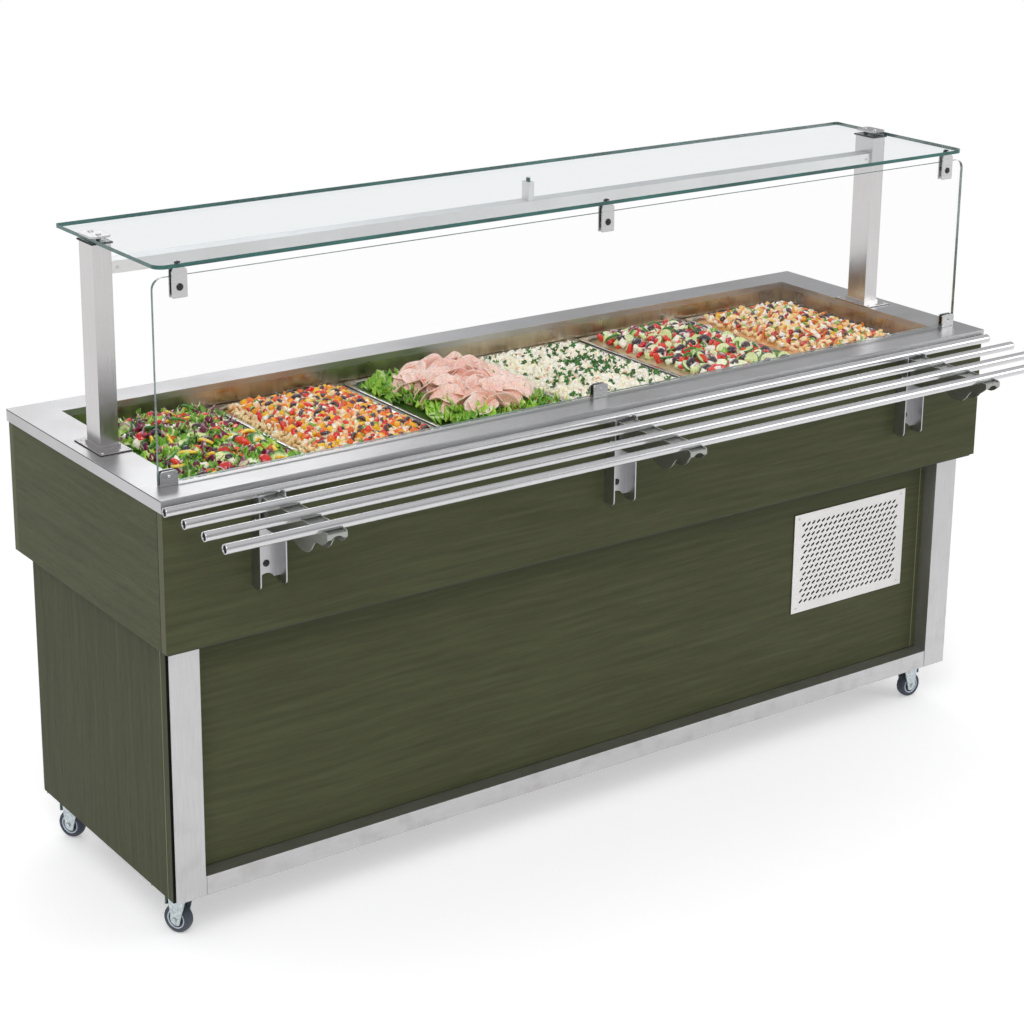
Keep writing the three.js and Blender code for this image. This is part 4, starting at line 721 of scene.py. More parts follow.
def with_modifiers(holder, name):
    """Plain mesh of a holder with its modifiers applied; the holder is removed."""
    bpy.context.view_layer.update()
    graph = bpy.context.evaluated_depsgraph_get()
    mesh = bpy.data.meshes.new_from_object(holder.evaluated_get(graph), depsgraph=graph)
    mesh.name = name
    bpy.data.objects.remove(holder)
    return mesh


def in_scene(name, data):
    """New object of the scene at the origin."""
    made = bpy.data.objects.new(name, data)
    bpy.context.scene.collection.objects.link(made)
    return made


def sheet_from(name, mesh, thickness):
    """Mesh of a surface that is given a sheet's thickness on its inner side."""
    holder = in_scene(name + "_source", mesh)
    thick = holder.modifiers.new("sheet", "SOLIDIFY")
    thick.thickness = thickness
    thick.offset = -1.0
    return with_modifiers(holder, name + "_sheet")


def piece_from(name, mesh, body, material_name, smooth=True):
    """Object at the origin that rides on a body and has a material."""
    piece = in_scene(name, mesh)
    mesh.materials.clear()
    mesh.materials.append(MATERIALS[material_name])
    if smooth:
        mesh.shade_smooth()
    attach(piece, body)
    return piece


def mesh_of(name, bm, tone=None):
    """Mesh from bm; tone gives each vertex's tone attribute."""
    bmesh.ops.recalc_face_normals(bm, faces=bm.faces)
    mesh = mesh_from(name, bm)
    if tone is not None:
        layer = mesh.attributes.new("tone", "FLOAT", "POINT")
        layer.data.foreach_set("value", [float(tone(v.co)) for v in mesh.vertices])
    return mesh


def skin_loops(bm, loops, close_first=False, close_last=False):
    """Quads between loops of equal length, with optional end faces."""
    rings = [[bm.verts.new(p) for p in loop] for loop in loops]
    count = len(rings[0])
    for a, b in zip(rings, rings[1:]):
        for i in range(count):
            j = (i + 1) % count
            bm.faces.new((a[i], a[j], b[j], b[i]))
    if close_first:
        bm.faces.new(list(reversed(rings[0])))
    if close_last:
        bm.faces.new(rings[-1])
    return rings


def rounded_loop(cx, cy, half_x, half_y, radius, z, steps=8, side=4):
    """Rounded rectangle with points along its sides as well, anticlockwise from above."""
    points = []
    corners = [(1, -1, -90), (1, 1, 0), (-1, 1, 90), (-1, -1, 180)]
    for index, (sx, sy, start) in enumerate(corners):
        ox = cx + sx * (half_x - radius)
        oy = cy + sy * (half_y - radius)
        for i in range(steps + 1):
            angle = math.radians(start + 90 * i / steps)
            points.append(Vector((ox + radius * math.cos(angle), oy + radius * math.sin(angle), z)))
        nx, ny, turn = corners[(index + 1) % 4]
        angle = math.radians(turn)
        target = Vector((
            cx + nx * (half_x - radius) + radius * math.cos(angle),
            cy + ny * (half_y - radius) + radius * math.sin(angle), z,
        ))
        last = points[-1].copy()
        for i in range(1, side + 1):
            points.append(last.lerp(target, i / (side + 1)))
    return points


def lathe(profile, sides, axis, centre):
    """Closed body turned round axis through centre; profile is (radius, place along the axis)."""
    bm = bmesh.new()
    loops = [circle(radius, sides, along) for radius, along in profile]
    skin_loops(bm, loops, close_first=True, close_last=True)
    bmesh.ops.remove_doubles(bm, verts=bm.verts, dist=SAME_POINT)
    turn = Vector((0, 0, 1)).rotation_difference(Vector(axis)).to_matrix().to_4x4()
    bmesh.ops.transform(bm, matrix=Matrix.Translation(centre) @ turn, verts=bm.verts)
    return bm


def dome_mesh(name, radius, height, sides=20, socket=0.0):
    """Domed screw head with its base at z 0; socket is the radius of a recess in its crown."""
    bm = bmesh.new()
    profile = [(radius * 0.98, -0.4 * MM)]
    steps = 5
    for i in range(steps + 1):
        angle = math.radians(90 * i / steps)
        reach = radius * math.cos(angle)
        if reach > socket:
            profile.append((reach, height * math.sin(angle)))
    if socket > 0:
        profile.append((socket, height * 0.97))
        profile.append((socket * 0.9, height * 0.5))
    profile.append((0.02 * MM, height * (0.5 if socket > 0 else 1.0)))
    skin_loops(bm, [circle(r, sides, z) for r, z in profile], close_first=True, close_last=True)
    return mesh_of(name, bm)


# ------------------------------------------------------------------ geometry node trees
def fixings_tree():
    """Puts a copy of Fixing on each point, turned to the point's aim."""
    tree = bpy.data.node_groups.new("Fixings", "GeometryNodeTree")
    socket_in(tree, "Geometry", "NodeSocketGeometry")
    socket_in(tree, "Fixing", "NodeSocketObject")
    socket_in(tree, "Finish", "NodeSocketMaterial")
    socket_in(tree, "Size", "NodeSocketFloat", 1.0)
    socket_out(tree, "Geometry", "NodeSocketGeometry")
    source = add(tree, "NodeGroupInput").outputs
    shape = add(tree, "GeometryNodeObjectInfo", {"Object": source["Fixing"]}).outputs["Geometry"]
    aim = add(tree, "GeometryNodeInputNamedAttribute", {"Name": "aim"}, data_type="FLOAT_VECTOR").outputs[0]
    turn = add(tree, "FunctionNodeAlignRotationToVector", {"Vector": aim}, axis="Z").outputs[0]
    placed = add(tree, "GeometryNodeInstanceOnPoints", {
        "Points": source["Geometry"], "Instance": shape, "Rotation": turn, "Scale": source["Size"],
    }).outputs[0]
    solid = add(tree, "GeometryNodeRealizeInstances", {"Geometry": placed}).outputs[0]
    done = add(tree, "GeometryNodeSetMaterial", {"Geometry": solid, "Material": source["Finish"]}).outputs[0]
    add(tree, "NodeGroupOutput", {"Geometry": done})
    return tree


def scatter_tree():
    """Strews a bit over a bed: even spacing, random turn, tilt, size and depth, from a fixed seed."""
    tree = bpy.data.node_groups.new("Scatter", "GeometryNodeTree")
    socket_in(tree, "Geometry", "NodeSocketGeometry")
    socket_in(tree, "Bit", "NodeSocketObject")
    socket_in(tree, "Finish", "NodeSocketMaterial")
    socket_in(tree, "Spacing", "NodeSocketFloat", 0.02)
    socket_in(tree, "Share", "NodeSocketFloat", 1.0)
    socket_in(tree, "Seed", "NodeSocketInt", 1)
    socket_in(tree, "Smallest", "NodeSocketFloat", 0.8)
    socket_in(tree, "Largest", "NodeSocketFloat", 1.2)
    socket_in(tree, "Tilt", "NodeSocketFloat", 0.6)
    socket_in(tree, "Sink", "NodeSocketFloat", -0.004)
    socket_in(tree, "Rise", "NodeSocketFloat", 0.004)
    socket_in(tree, "Edge From", "NodeSocketFloat", 0.0)
    socket_in(tree, "Edge To", "NodeSocketFloat", 1.0)
    socket_out(tree, "Geometry", "NodeSocketGeometry")
    source = add(tree, "NodeGroupInput").outputs
    shape = add(tree, "GeometryNodeObjectInfo", {"Object": source["Bit"]}).outputs["Geometry"]
    edge = add(tree, "GeometryNodeInputNamedAttribute", {"Name": "edge"}, data_type="FLOAT").outputs[0]
    above = add(tree, "FunctionNodeCompare", {0: edge, 1: source["Edge From"]}, operation="GREATER_EQUAL")
    below = add(tree, "FunctionNodeCompare", {0: edge, 1: source["Edge To"]}, operation="LESS_EQUAL")
    inside = add(tree, "FunctionNodeBooleanMath", {0: above.outputs[0], 1: below.outputs[0]},
                 operation="AND").outputs[0]
    spread = add(tree, "GeometryNodeDistributePointsOnFaces", {
        "Mesh": source["Geometry"], "Selection": inside, "Distance Min": source["Spacing"],
        "Density Max": DENSEST_BITS, "Density Factor": source["Share"], "Seed": source["Seed"],
    }, distribute_method="POISSON")
    placed = add(tree, "GeometryNodeInstanceOnPoints", {
        "Points": spread.outputs["Points"], "Instance": shape, "Rotation": spread.outputs["Rotation"],
    }).outputs[0]
    size = add(tree, "FunctionNodeRandomValue", {
        2: source["Smallest"], 3: source["Largest"], "Seed": SIZE_SEED,
    }).outputs[1]
    sized = add(tree, "GeometryNodeScaleInstances", {"Instances": placed, "Scale": size}).outputs[0]
    tilt = source["Tilt"]
    back = maths(tree, "MULTIPLY", tilt, -1.0)
    lowest = add(tree, "ShaderNodeCombineXYZ", {0: back, 1: back, 2: 0.0}).outputs[0]
    highest = add(tree, "ShaderNodeCombineXYZ", {0: tilt, 1: tilt, 2: FULL_TURN}).outputs[0]
    lean = add(tree, "FunctionNodeRandomValue", {0: lowest, 1: highest, "Seed": LEAN_SEED},
               data_type="FLOAT_VECTOR").outputs[0]
    turned = add(tree, "GeometryNodeRotateInstances", {"Instances": sized, "Rotation": lean}).outputs[0]
    depth = add(tree, "FunctionNodeRandomValue", {
        2: source["Sink"], 3: source["Rise"], "Seed": DEPTH_SEED,
    }).outputs[1]
    shift = add(tree, "ShaderNodeCombineXYZ", {2: depth}).outputs[0]
    moved = add(tree, "GeometryNodeTranslateInstances", {
        "Instances": turned, "Translation": shift, "Local Space": False,
    }).outputs[0]
    shade = add(tree, "FunctionNodeRandomValue", {2: 0.0, 3: 1.0, "Seed": SHADE_SEED}).outputs[1]
    marked = add(tree, "GeometryNodeStoreNamedAttribute", {
        "Geometry": moved, "Name": "shade", "Value": shade,
    }, data_type="FLOAT", domain="INSTANCE").outputs[0]
    solid = add(tree, "GeometryNodeRealizeInstances", {"Geometry": marked}).outputs[0]
    done = add(tree, "GeometryNodeSetMaterial", {"Geometry": solid, "Material": source["Finish"]}).outputs[0]
    add(tree, "NodeGroupOutput", {"Geometry": done})
    return tree


# The geometry node trees made so far, by their makers.
TREES = {}


def run_tree(name, base_mesh, maker, values):
    """Plain mesh that the node tree makes from base_mesh, with its inputs set by name."""
    if maker not in TREES:
        TREES[maker] = maker()
    tree = TREES[maker]
    holder = in_scene(name + "_source", base_mesh)
    modifier = holder.modifiers.new("tree", "NODES")
    modifier.node_group = tree
    for item in tree.interface.items_tree:
        if item.item_type == "SOCKET" and item.in_out == "INPUT" and item.name in values:
            modifier[item.identifier] = values[item.name]
    mesh = with_modifiers(holder, name)
    if len(mesh.vertices) == 0:
        raise RuntimeError(f"{name} came out empty")
    return mesh


def fixings(name, body, head, places, material_name):
    """Copies of a screw head at places, each (point, direction that the head faces)."""
    mesh = bpy.data.meshes.new(name + "_points")
    mesh.from_pydata([tuple(place[0]) for place in places], [], [])
    aims = mesh.attributes.new("aim", "FLOAT_VECTOR", "POINT")
    for item, place in zip(aims.data, places):
        item.vector = place[1]
    source = in_scene(name + "_head", head)
    made = run_tree(name, mesh, fixings_tree, {
        "Fixing": source, "Finish": MATERIALS[material_name], "Size": 1.0,
    })
    bpy.data.objects.remove(source)
    return piece_from(name, made, body, material_name)


# ------------------------------------------------------------------ pans
def pan_node(index):
    return f"pan_{index}"


def pan_shell(index, thickness):
    """Pressed steel food pan with a flat rim, a rolled mouth, tapered walls and a filleted floor."""
    low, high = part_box(pan_node(index))
    cx = middle(low.x, high.x)
    cy = middle(low.y, high.y)
    half_x = (high.x - low.x) / 2
    half_y = (high.y - low.y) / 2
    top = high.z
    floor = low.z + PAN_FLOOR_RISE
    # Each section: distance in from the pan's edge, height, corner radius.
    sections = [
        (0.2 * MM, top - 0.3 * MM, PAN_RIM_CORNER), (1.2 * MM, top - 0.05 * MM, PAN_RIM_CORNER),
        (PAN_RIM_FLAT, top - 0.05 * MM, PAN_RIM_CORNER + 6 * MM),
        (PAN_BOWL_INSET - 1.2 * MM, top - 0.6 * MM, PAN_BOWL_CORNER - 1.5 * MM),
        (PAN_BOWL_INSET - 0.2 * MM, top - 2.4 * MM, PAN_BOWL_CORNER),
        (PAN_BOWL_INSET + 0.2 * MM, top - 12 * MM, PAN_BOWL_CORNER),
        (PAN_BOWL_INSET + 1.6 * MM, floor + 22 * MM, PAN_BOWL_CORNER),
        (PAN_BOWL_INSET + 4 * MM, floor + 8 * MM, PAN_BOWL_CORNER),
        (PAN_BOWL_INSET + 10 * MM, floor + 2 * MM, PAN_BOWL_CORNER - 4 * MM),
        (PAN_BOWL_INSET + 20 * MM, floor, PAN_BOWL_CORNER - 10 * MM),
    ]
    bm = bmesh.new()
    loops = [rounded_loop(cx, cy, half_x - i, half_y - i, r, z) for i, z, r in sections]
    skin_loops(bm, loops, close_last=True)
    mesh = mesh_of(f"pan_shell_{index}", bm)
    mesh.flip_normals()
    made = sheet_from("pan_shell", mesh, thickness)
    piece = piece_from(f"pan_shell_{index}", made, pan_node(index), "pan_steel")
    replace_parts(piece, pan_node(index))


# ------------------------------------------------------------------ salads
def no_tone(co):
    return 0.0


def chunk(name, size, square, rough, seed, cuts=2):
    """Cut lump: between a ball (square 0) and a block (square 1), with a rough surface."""
    bm = bmesh.new()
    bmesh.ops.create_cube(bm, size=2.0)
    bmesh.ops.subdivide_edges(bm, edges=bm.edges, cuts=cuts, use_grid_fill=True)
    for vertex in bm.verts:
        ball = vertex.co.normalized()
        co = ball.lerp(vertex.co * 0.8, square)
        swell = 1 + noise.noise(co * 1.7 + Vector((seed, 0, 0))) * rough
        vertex.co = Vector([part * swell * length for part, length in zip(co, size)]) / 2
    return mesh_of(name, bm, tone=no_tone)


def disc(name, radius, thick, skin):
    """Round slice with a rim of skin, where its tone is 1."""
    bm = bmesh.new()
    # Each: share of the radius, share of the thickness.
    profile = [
        (0.01, 0.42), (0.35, 0.45), (0.62, 0.4), (1 - skin, 0.48), (0.97, 0.4), (1.0, 0.0),
        (0.97, -0.4), (0.62, -0.4), (0.01, -0.42),
    ]
    loops = [circle(radius * r, FRUIT_SIDES, thick * z) for r, z in profile]
    skin_loops(bm, loops, close_first=True, close_last=True)
    return mesh_of(name, bm, tone=lambda co: 1.0 if co.xy.length > radius * 0.93 else 0.0)


def half_ball(name, radius, depth):
    """Cut half of a round fruit, cut face up; its tone marks the seed pockets of the cut face."""
    bm = bmesh.new()
    # Each: share of the radius, share of the depth.
    profile = [
        (0.01, 0.05), (0.4, 0.02), (0.7, 0.06), (0.9, 0.03), (1.0, -0.08), (0.96, -0.4), (0.72, -0.75),
        (0.36, -0.95), (0.01, -1.0),
    ]
    loops = [circle(radius * r, FRUIT_SIDES, depth * z) for r, z in profile]
    skin_loops(bm, loops, close_first=True, close_last=True)

    def tone(co):
        angle = math.atan2(co.y, co.x)
        pocket = math.cos(3 * angle) > 0.1 and 0.25 < co.xy.length / radius < 0.8
        return 0.8 if co.z > -0.02 * depth and pocket else 0.0

    return mesh_of(name, bm, tone=tone)


def ball(name, radius, stretch=1.0, dent=0.0):
    """Ball or egg, with an optional dent at its end as a pitted olive has."""
    bm = bmesh.new()
    steps = 9
    sides = 16
    loops = []
    for k in range(steps + 1):
        angle = math.pi * (k + 0.02) / (steps + 0.04)
        r = radius * math.sin(angle)
        z = radius * stretch * math.cos(angle)
        if k == 0:
            z -= dent * radius
        loops.append(circle(r, sides, z))
    skin_loops(bm, loops, close_first=True, close_last=True)
    return mesh_of(name, bm, tone=lambda co: 1.0 if dent and co.z > radius * stretch * 0.88 else 0.0)


def hoop(name, radius, width, height, arc=360.0, sides=20):
    """Ring or part ring of onion, pepper or olive, rectangular in section with soft corners."""
    bm = bmesh.new()
    full = arc >= 360.0
    count = sides if full else sides + 1
    section = [(0.0, -0.5), (0.5, -0.35), (0.5, 0.35), (0.0, 0.5), (-0.5, 0.35), (-0.5, -0.35)]
    loops = []
    for i in range(count):
        angle = math.radians(arc) * i / sides
        flare = 1 + 0.06 * math.sin(2 * angle)
        loop = []
        for a, b in section:
            reach = radius * flare + width * a
            loop.append(Vector((reach * math.cos(angle), reach * math.sin(angle), height * b)))
        loops.append(loop)
    if full:
        loops.append(loops[0])
    skin_loops(bm, loops, close_first=not full, close_last=not full)
    bmesh.ops.remove_doubles(bm, verts=bm.verts, dist=SAME_FOOD_POINT)
    return mesh_of(name, bm, tone=lambda co: 1.0 if co.xy.length > radius + width * 0.3 else 0.0)


def leaf(name, length, width, ruffle, curl, waves, seed, lobes=0.0):
    """Ruffled salad leaf of thin sheet; its tone is 1 on the midrib and 0 at the rim."""
    bm = bmesh.new()
    long_cells = 12
    wide_cells = 8
    grid = []
    for i in range(long_cells + 1):
        u = i / long_cells
        row = []
        reach = width / 2 * (math.sin(math.pi * min(1.0, 0.08 + u * 0.92)) ** 0.55)
        reach *= 1 + lobes * math.sin(u * 19 + seed)
        for j in range(wide_cells + 1):
            v = 2 * j / wide_cells - 1
            z = curl * ((2 * u - 1) ** 2) + 0.35 * curl * v * v
            z += ruffle * abs(v) ** 1.6 * math.sin(u * waves + 2.0 * v + seed)
            z += ruffle * 0.3 * noise.noise(Vector((u * 4, v * 3, seed)))
            row.append(bm.verts.new((length * (u - 0.5), reach * v, z)))
        grid.append(row)
    for a, b in zip(grid, grid[1:]):
        for j in range(wide_cells):
            bm.faces.new((a[j], b[j], b[j + 1], a[j + 1]))
    bmesh.ops.recalc_face_normals(bm, faces=bm.faces)
    bmesh.ops.solidify(bm, geom=bm.faces[:], thickness=LEAF_THICKNESS)
    return mesh_of(name, bm, tone=lambda co: max(0.0, 1 - abs(co.y) / (0.09 * width)))


def strand(name, length, radius, bend):
    """Thin curved strip, such as cut carrot or pepper."""
    bm = bmesh.new()
    sides = 6
    cells = 8
    loops = []
    for i in range(cells + 1):
        u = i / cells - 0.5
        centre = Vector((length * u, bend * math.sin(3.0 * u), bend * 0.6 * math.cos(4.2 * u)))
        taper = radius * (1 - 0.5 * abs(2 * u) ** 3)
        loops.append([centre + Vector((0, point.x, 0.7 * point.y)) for point in circle(taper, sides, 0.0)])
    skin_loops(bm, loops, close_first=True, close_last=True)
    return mesh_of(name, bm, tone=no_tone)


def ham_slice(name, radius, seed):
    """Thin round slice folded in two, open at the top, with a softly waved round rim."""
    bm = bmesh.new()
    around = 44
    rings = 10
    spine = 0.16 * radius
    opening = math.radians(52)
    grid = []
    for i in range(rings + 1):
        v = i / rings
        row = []
        for j in range(around):
            angle = 2 * math.pi * j / around
            along = radius * v * math.cos(angle)
            across = radius * v * math.sin(angle)
            bent = min(abs(across) / spine, opening)
            rest = max(0.0, abs(across) - spine * opening)
            out = spine * math.sin(bent) + rest * math.cos(opening)
            lift = spine * (1 - math.cos(bent)) + rest * math.sin(opening)
            wave = 0.10 * radius * v ** 3 * math.sin(5 * angle + seed)
            curl = 0.30 * max(0.0, v - 0.6) * radius
            side = 1 if across >= 0 else -1
            row.append(bm.verts.new((along + 0.4 * wave, side * (out + curl) + wave, lift - 0.6 * curl)))
        grid.append(row)
    for a, b in zip(grid, grid[1:]):
        for j in range(around):
            k = (j + 1) % around
            bm.faces.new((a[j], b[j], b[k], a[k]))
    bmesh.ops.remove_doubles(bm, verts=bm.verts, dist=SAME_FOOD_POINT)
    bmesh.ops.recalc_face_normals(bm, faces=bm.faces)
    bmesh.ops.solidify(bm, geom=bm.faces[:], thickness=HAM_THICKNESS)
    # Tone rises with height, so the upper folds turn paler: painted light on top of the fold.
    return mesh_of(name, bm, tone=lambda co: max(0.0, co.z / radius - 0.45) * 2.0)


# Makers of the bits, with each bit's own values for them; lengths are in metres.
BITS = (
    # length, width, ruffle, curl, waves, seed, lobes
    (leaf, {
        "leaf": (0.052, 0.036, 0.008, 0.010, 17, 1.0, 0.14),
        "curly": (0.066, 0.052, 0.013, 0.012, 26, 2.0, 0.2),
        "frill": (0.084, 0.070, 0.017, 0.016, 30, 3.0, 0.2),
        "radicchio": (0.048, 0.034, 0.009, 0.012, 12, 4.0, 0.1),
        "parsley": (0.015, 0.012, 0.003, 0.002, 14, 5.0, 0.35),
    }),
    # size, squareness, roughness, seed, cuts
    (chunk, {
        "block": ((0.022, 0.018, 0.015), 0.85, 0.25, 1.0),
        "dice": ((0.013, 0.012, 0.010), 0.7, 0.4, 2.0, 1),
        "lump": ((0.019, 0.014, 0.012), 0.25, 0.6, 3.0),
        "grain": ((0.0105, 0.0055, 0.0048), 0.1, 0.3, 4.0, 1),
        "wedge": ((0.030, 0.015, 0.012), 0.4, 0.3, 5.0),
    }),
    # radius, thickness, skin
    (disc, {"slice": (0.019, 0.005, 0.08), "big_slice": (0.023, 0.0055, 0.07)}),
    # radius, depth
    (half_ball, {"half": (0.0165, 0.013)}),
    # radius, stretch, dent
    (ball, {"cherry": (0.0175,), "olive": (0.0095, 1.25, 0.35)}),
    # radius, width, height, arc in degrees, sides
    (hoop, {
        "olive_ring": (0.0055, 0.004, 0.005),
        "onion": (0.017, 0.0032, 0.004, 210.0, 16),
        "pepper": (0.016, 0.005, 0.006, 150.0, 12),
    }),
    # length, radius, bend
    (strand, {"strip": (0.040, 0.0030, 0.006)}),
    # radius, seed
    (ham_slice, {"ham": (0.046, 0.4), "ham_fold": (0.040, 2.1)}),
)


def bit_mesh(name):
    for maker, shapes in BITS:
        if name in shapes:
            return maker(name, *shapes[name])
    raise RuntimeError(f"no bit of food is named {name}")


# Each food's colours: its body, its edges or skin (on ham, painted light on its upper folds), and the colour
# that some pieces lean to.
FOOD_COLOURS = {
    "bed_green": ("4c7420", "38581a", "6a962c"), "bed_grain": ("d9a04e", "a86e30", "efc882"),
    "bed_cream": ("efe6c6", "dccfa4", "f8f1da"), "bed_greek": ("cbb68e", "a08458", "ddcfa6"),
    "bed_pasta": ("efbe80", "cc8e50", "f6d6a2"), "lettuce": ("82bc34", "d9ea9e", "4a8422"),
    "lime_leaf": ("a6d648", "e6f4ba", "72ac2e"), "dark_leaf": ("3c6c1e", "7ca64a", "264a18"),
    "radicchio": ("6c1a3c", "e0bccc", "8c3454"), "red_leaf": ("6a2e24", "9c6440", "7a9830"),
    "tomato": ("dc2418", "f07c3a", "e84022"), "cherry": ("d81c14", "ec5028", "c41812"),
    "cucumber": ("dfeca6", "357a26", "eef4c8"), "yellow": ("f6c41c", "fada54", "f29c1c"),
    "orange": ("f0801c", "faa63c", "e2601a"), "olive_black": ("2a1c26", "52404a", "42222c"),
    "white_cheese": ("fbf5e4", "ebe2ca", "fffbf0"), "onion": ("f0dfe8", "9c305e", "e0bece"),
    "grain": ("efd196", "d8a860", "f8e6ba"), "red_pepper": ("c8241a", "e4502c", "a81c1c"),
    "green_bit": ("70a030", "467c20", "9cc656"),
    "cream": ("faf2d6", "ecdfb6", "fffae8"), "prawn": ("f2b48a", "e08c5c", "f8d0b0"),
    "parsley": ("367826", "5c9c3c", "245a1a"), "ham": ("f7d0c2", "fbe6dc", "f3c4b4"),
    "ham_pale": ("f9d8cc", "fdeee6", "f5cabc"), "pasta": ("fbcf86", "f4ac52", "fde3b2"),
}
SHINY_FOODS = ("tomato", "cherry", "olive_black", "red_pepper")

# Each pan: the bed's colour, how high it is heaped in metres, and its layers of bits.
# Each layer: bit, colour, spacing in mm, share, smallest and largest scale, tilt in radians, sink and
# rise in mm, and between which shares of the way from the middle to the wall it lies.
SALADS = {
    1: ("bed_green", 0.030, [
        ("leaf", "dark_leaf", 19, 0.9, 0.5, 0.85, 0.6, 0, 7, 0.0, 0.97),
        ("leaf", "lettuce", 17, 0.9, 0.5, 0.95, 0.65, 0, 9, 0.0, 0.97),
        ("curly", "lime_leaf", 38, 0.85, 0.6, 0.85, 0.6, 3, 10, 0.0, 0.95),
        ("radicchio", "radicchio", 40, 0.85, 0.6, 1.0, 0.8, 6, 12, 0.0, 0.92),
        ("big_slice", "cucumber", 58, 0.9, 0.9, 1.25, 0.6, 11, 16, 0.0, 0.9),
        ("cherry", "cherry", 74, 0.8, 0.75, 1.0, 1.2, 8, 13, 0.0, 0.88),
        ("half", "tomato", 60, 0.9, 0.9, 1.3, 1.2, 10, 15, 0.0, 0.9),
        ("lump", "white_cheese", 44, 0.9, 0.9, 1.6, 1.0, 11, 16, 0.0, 0.92),
        ("pepper", "yellow", 56, 0.9, 1.0, 1.4, 1.0, 11, 16, 0.0, 0.9),
        ("olive", "olive_black", 54, 0.9, 0.9, 1.3, 1.4, 11, 16, 0.0, 0.9),
        ("onion", "onion", 60, 0.8, 0.7, 1.1, 1.0, 9, 14, 0.0, 0.88),
    ]),
    2: ("bed_grain", 0.028, [
        ("grain", "grain", 8.5, 1.0, 1.2, 2.2, 1.2, 1, 8, 0.0, 0.97),
        ("lump", "prawn", 22, 0.85, 0.7, 1.2, 1.2, 2, 8, 0.0, 0.94),
        ("dice", "white_cheese", 24, 0.85, 0.9, 1.5, 1.3, 3, 8, 0.0, 0.94),
        ("wedge", "tomato", 34, 0.9, 0.7, 1.1, 1.2, 5, 10, 0.0, 0.93),
        ("block", "yellow", 32, 0.9, 0.7, 1.1, 1.3, 5, 10, 0.0, 0.95),
        ("olive_ring", "olive_black", 35, 0.9, 1.1, 1.7, 1.3, 6, 11, 0.0, 0.94),
        ("lump", "orange", 30, 0.9, 0.8, 1.4, 1.2, 5, 10, 0.0, 0.93),
        ("dice", "green_bit", 36, 0.8, 0.8, 1.4, 1.2, 4, 9, 0.0, 0.95),
        ("dice", "red_pepper", 50, 0.8, 0.9, 1.4, 1.2, 4, 9, 0.0, 0.95),
    ]),
    3: ("bed_green", 0.022, [
        ("frill", "lime_leaf", 34, 0.95, 0.65, 0.85, 0.45, 2, 9, 0.45, 0.82),
        ("curly", "lettuce", 26, 0.9, 0.6, 0.8, 0.5, 0, 8, 0.45, 0.87),
        ("radicchio", "red_leaf", 62, 0.7, 0.8, 1.1, 0.6, 4, 10, 0.6, 0.86),
        ("ham", "ham", 38, 1.0, 0.85, 1.05, 0.5, 6, 14, 0.0, 0.61),
        ("ham_fold", "ham_pale", 36, 1.0, 0.85, 1.1, 0.6, 12, 24, 0.0, 0.56),
    ]),
    4: ("bed_cream", 0.028, [
        ("grain", "cream", 9.5, 1.0, 1.2, 2.4, 1.2, -1, 5, 0.0, 0.97),
        ("wedge", "cream", 26, 0.9, 0.6, 1.0, 1.0, 2, 7, 0.0, 0.95),
        ("dice", "white_cheese", 18, 0.9, 0.9, 1.7, 1.2, 2, 7, 0.0, 0.95),
        ("dice", "prawn", 38, 0.8, 0.7, 1.1, 1.2, 3, 8, 0.0, 0.9),
        ("parsley", "parsley", 19, 0.42, 0.8, 1.3, 0.8, 7, 10, 0.0, 0.9),
        ("parsley", "parsley", 9, 0.30, 0.8, 1.2, 0.8, 8, 11, 0.0, 0.28),
    ]),
    5: ("bed_greek", 0.026, [
        ("block", "cucumber", 30, 0.9, 0.9, 1.3, 1.3, 1, 8, 0.0, 0.95),
        ("wedge", "tomato", 28, 0.9, 0.9, 1.4, 1.2, 2, 9, 0.0, 0.95),
        ("half", "cherry", 44, 0.9, 0.7, 1.0, 1.2, 5, 10, 0.0, 0.93),
        ("block", "white_cheese", 34, 0.9, 0.7, 1.2, 1.2, 6, 11, 0.0, 0.92),
        ("olive", "olive_black", 46, 0.9, 1.1, 1.5, 1.4, 6, 11, 0.0, 0.92),
        ("onion", "onion", 44, 0.9, 0.8, 1.1, 1.0, 8, 12, 0.0, 0.9),
        ("slice", "cucumber", 42, 0.9, 0.8, 1.2, 0.9, 7, 12, 0.0, 0.9),
        ("leaf", "lettuce", 52, 0.9, 0.4, 0.7, 0.8, 4, 9, 0.0, 0.92),
    ]),
    6: ("bed_pasta", 0.028, [
        ("wedge", "pasta", 20, 0.95, 0.8, 1.2, 1.2, 1, 8, 0.0, 0.96),
        ("strip", "orange", 26, 0.9, 0.8, 1.2, 0.9, 3, 9, 0.0, 0.95),
        ("lump", "white_cheese", 26, 0.9, 0.7, 1.2, 1.0, 6, 11, 0.0, 0.93),
        ("dice", "red_pepper", 38, 0.8, 0.9, 1.4, 1.2, 5, 10, 0.0, 0.94),
        ("dice", "green_bit", 36, 0.8, 0.9, 1.4, 1.2, 5, 10, 0.0, 0.94),
        ("olive_ring", "olive_black", 44, 0.9, 1.0, 1.6, 1.2, 6, 11, 0.0, 0.93),
        ("lump", "yellow", 36, 0.8, 0.8, 1.3, 1.2, 5, 10, 0.0, 0.94),
    ]),
}


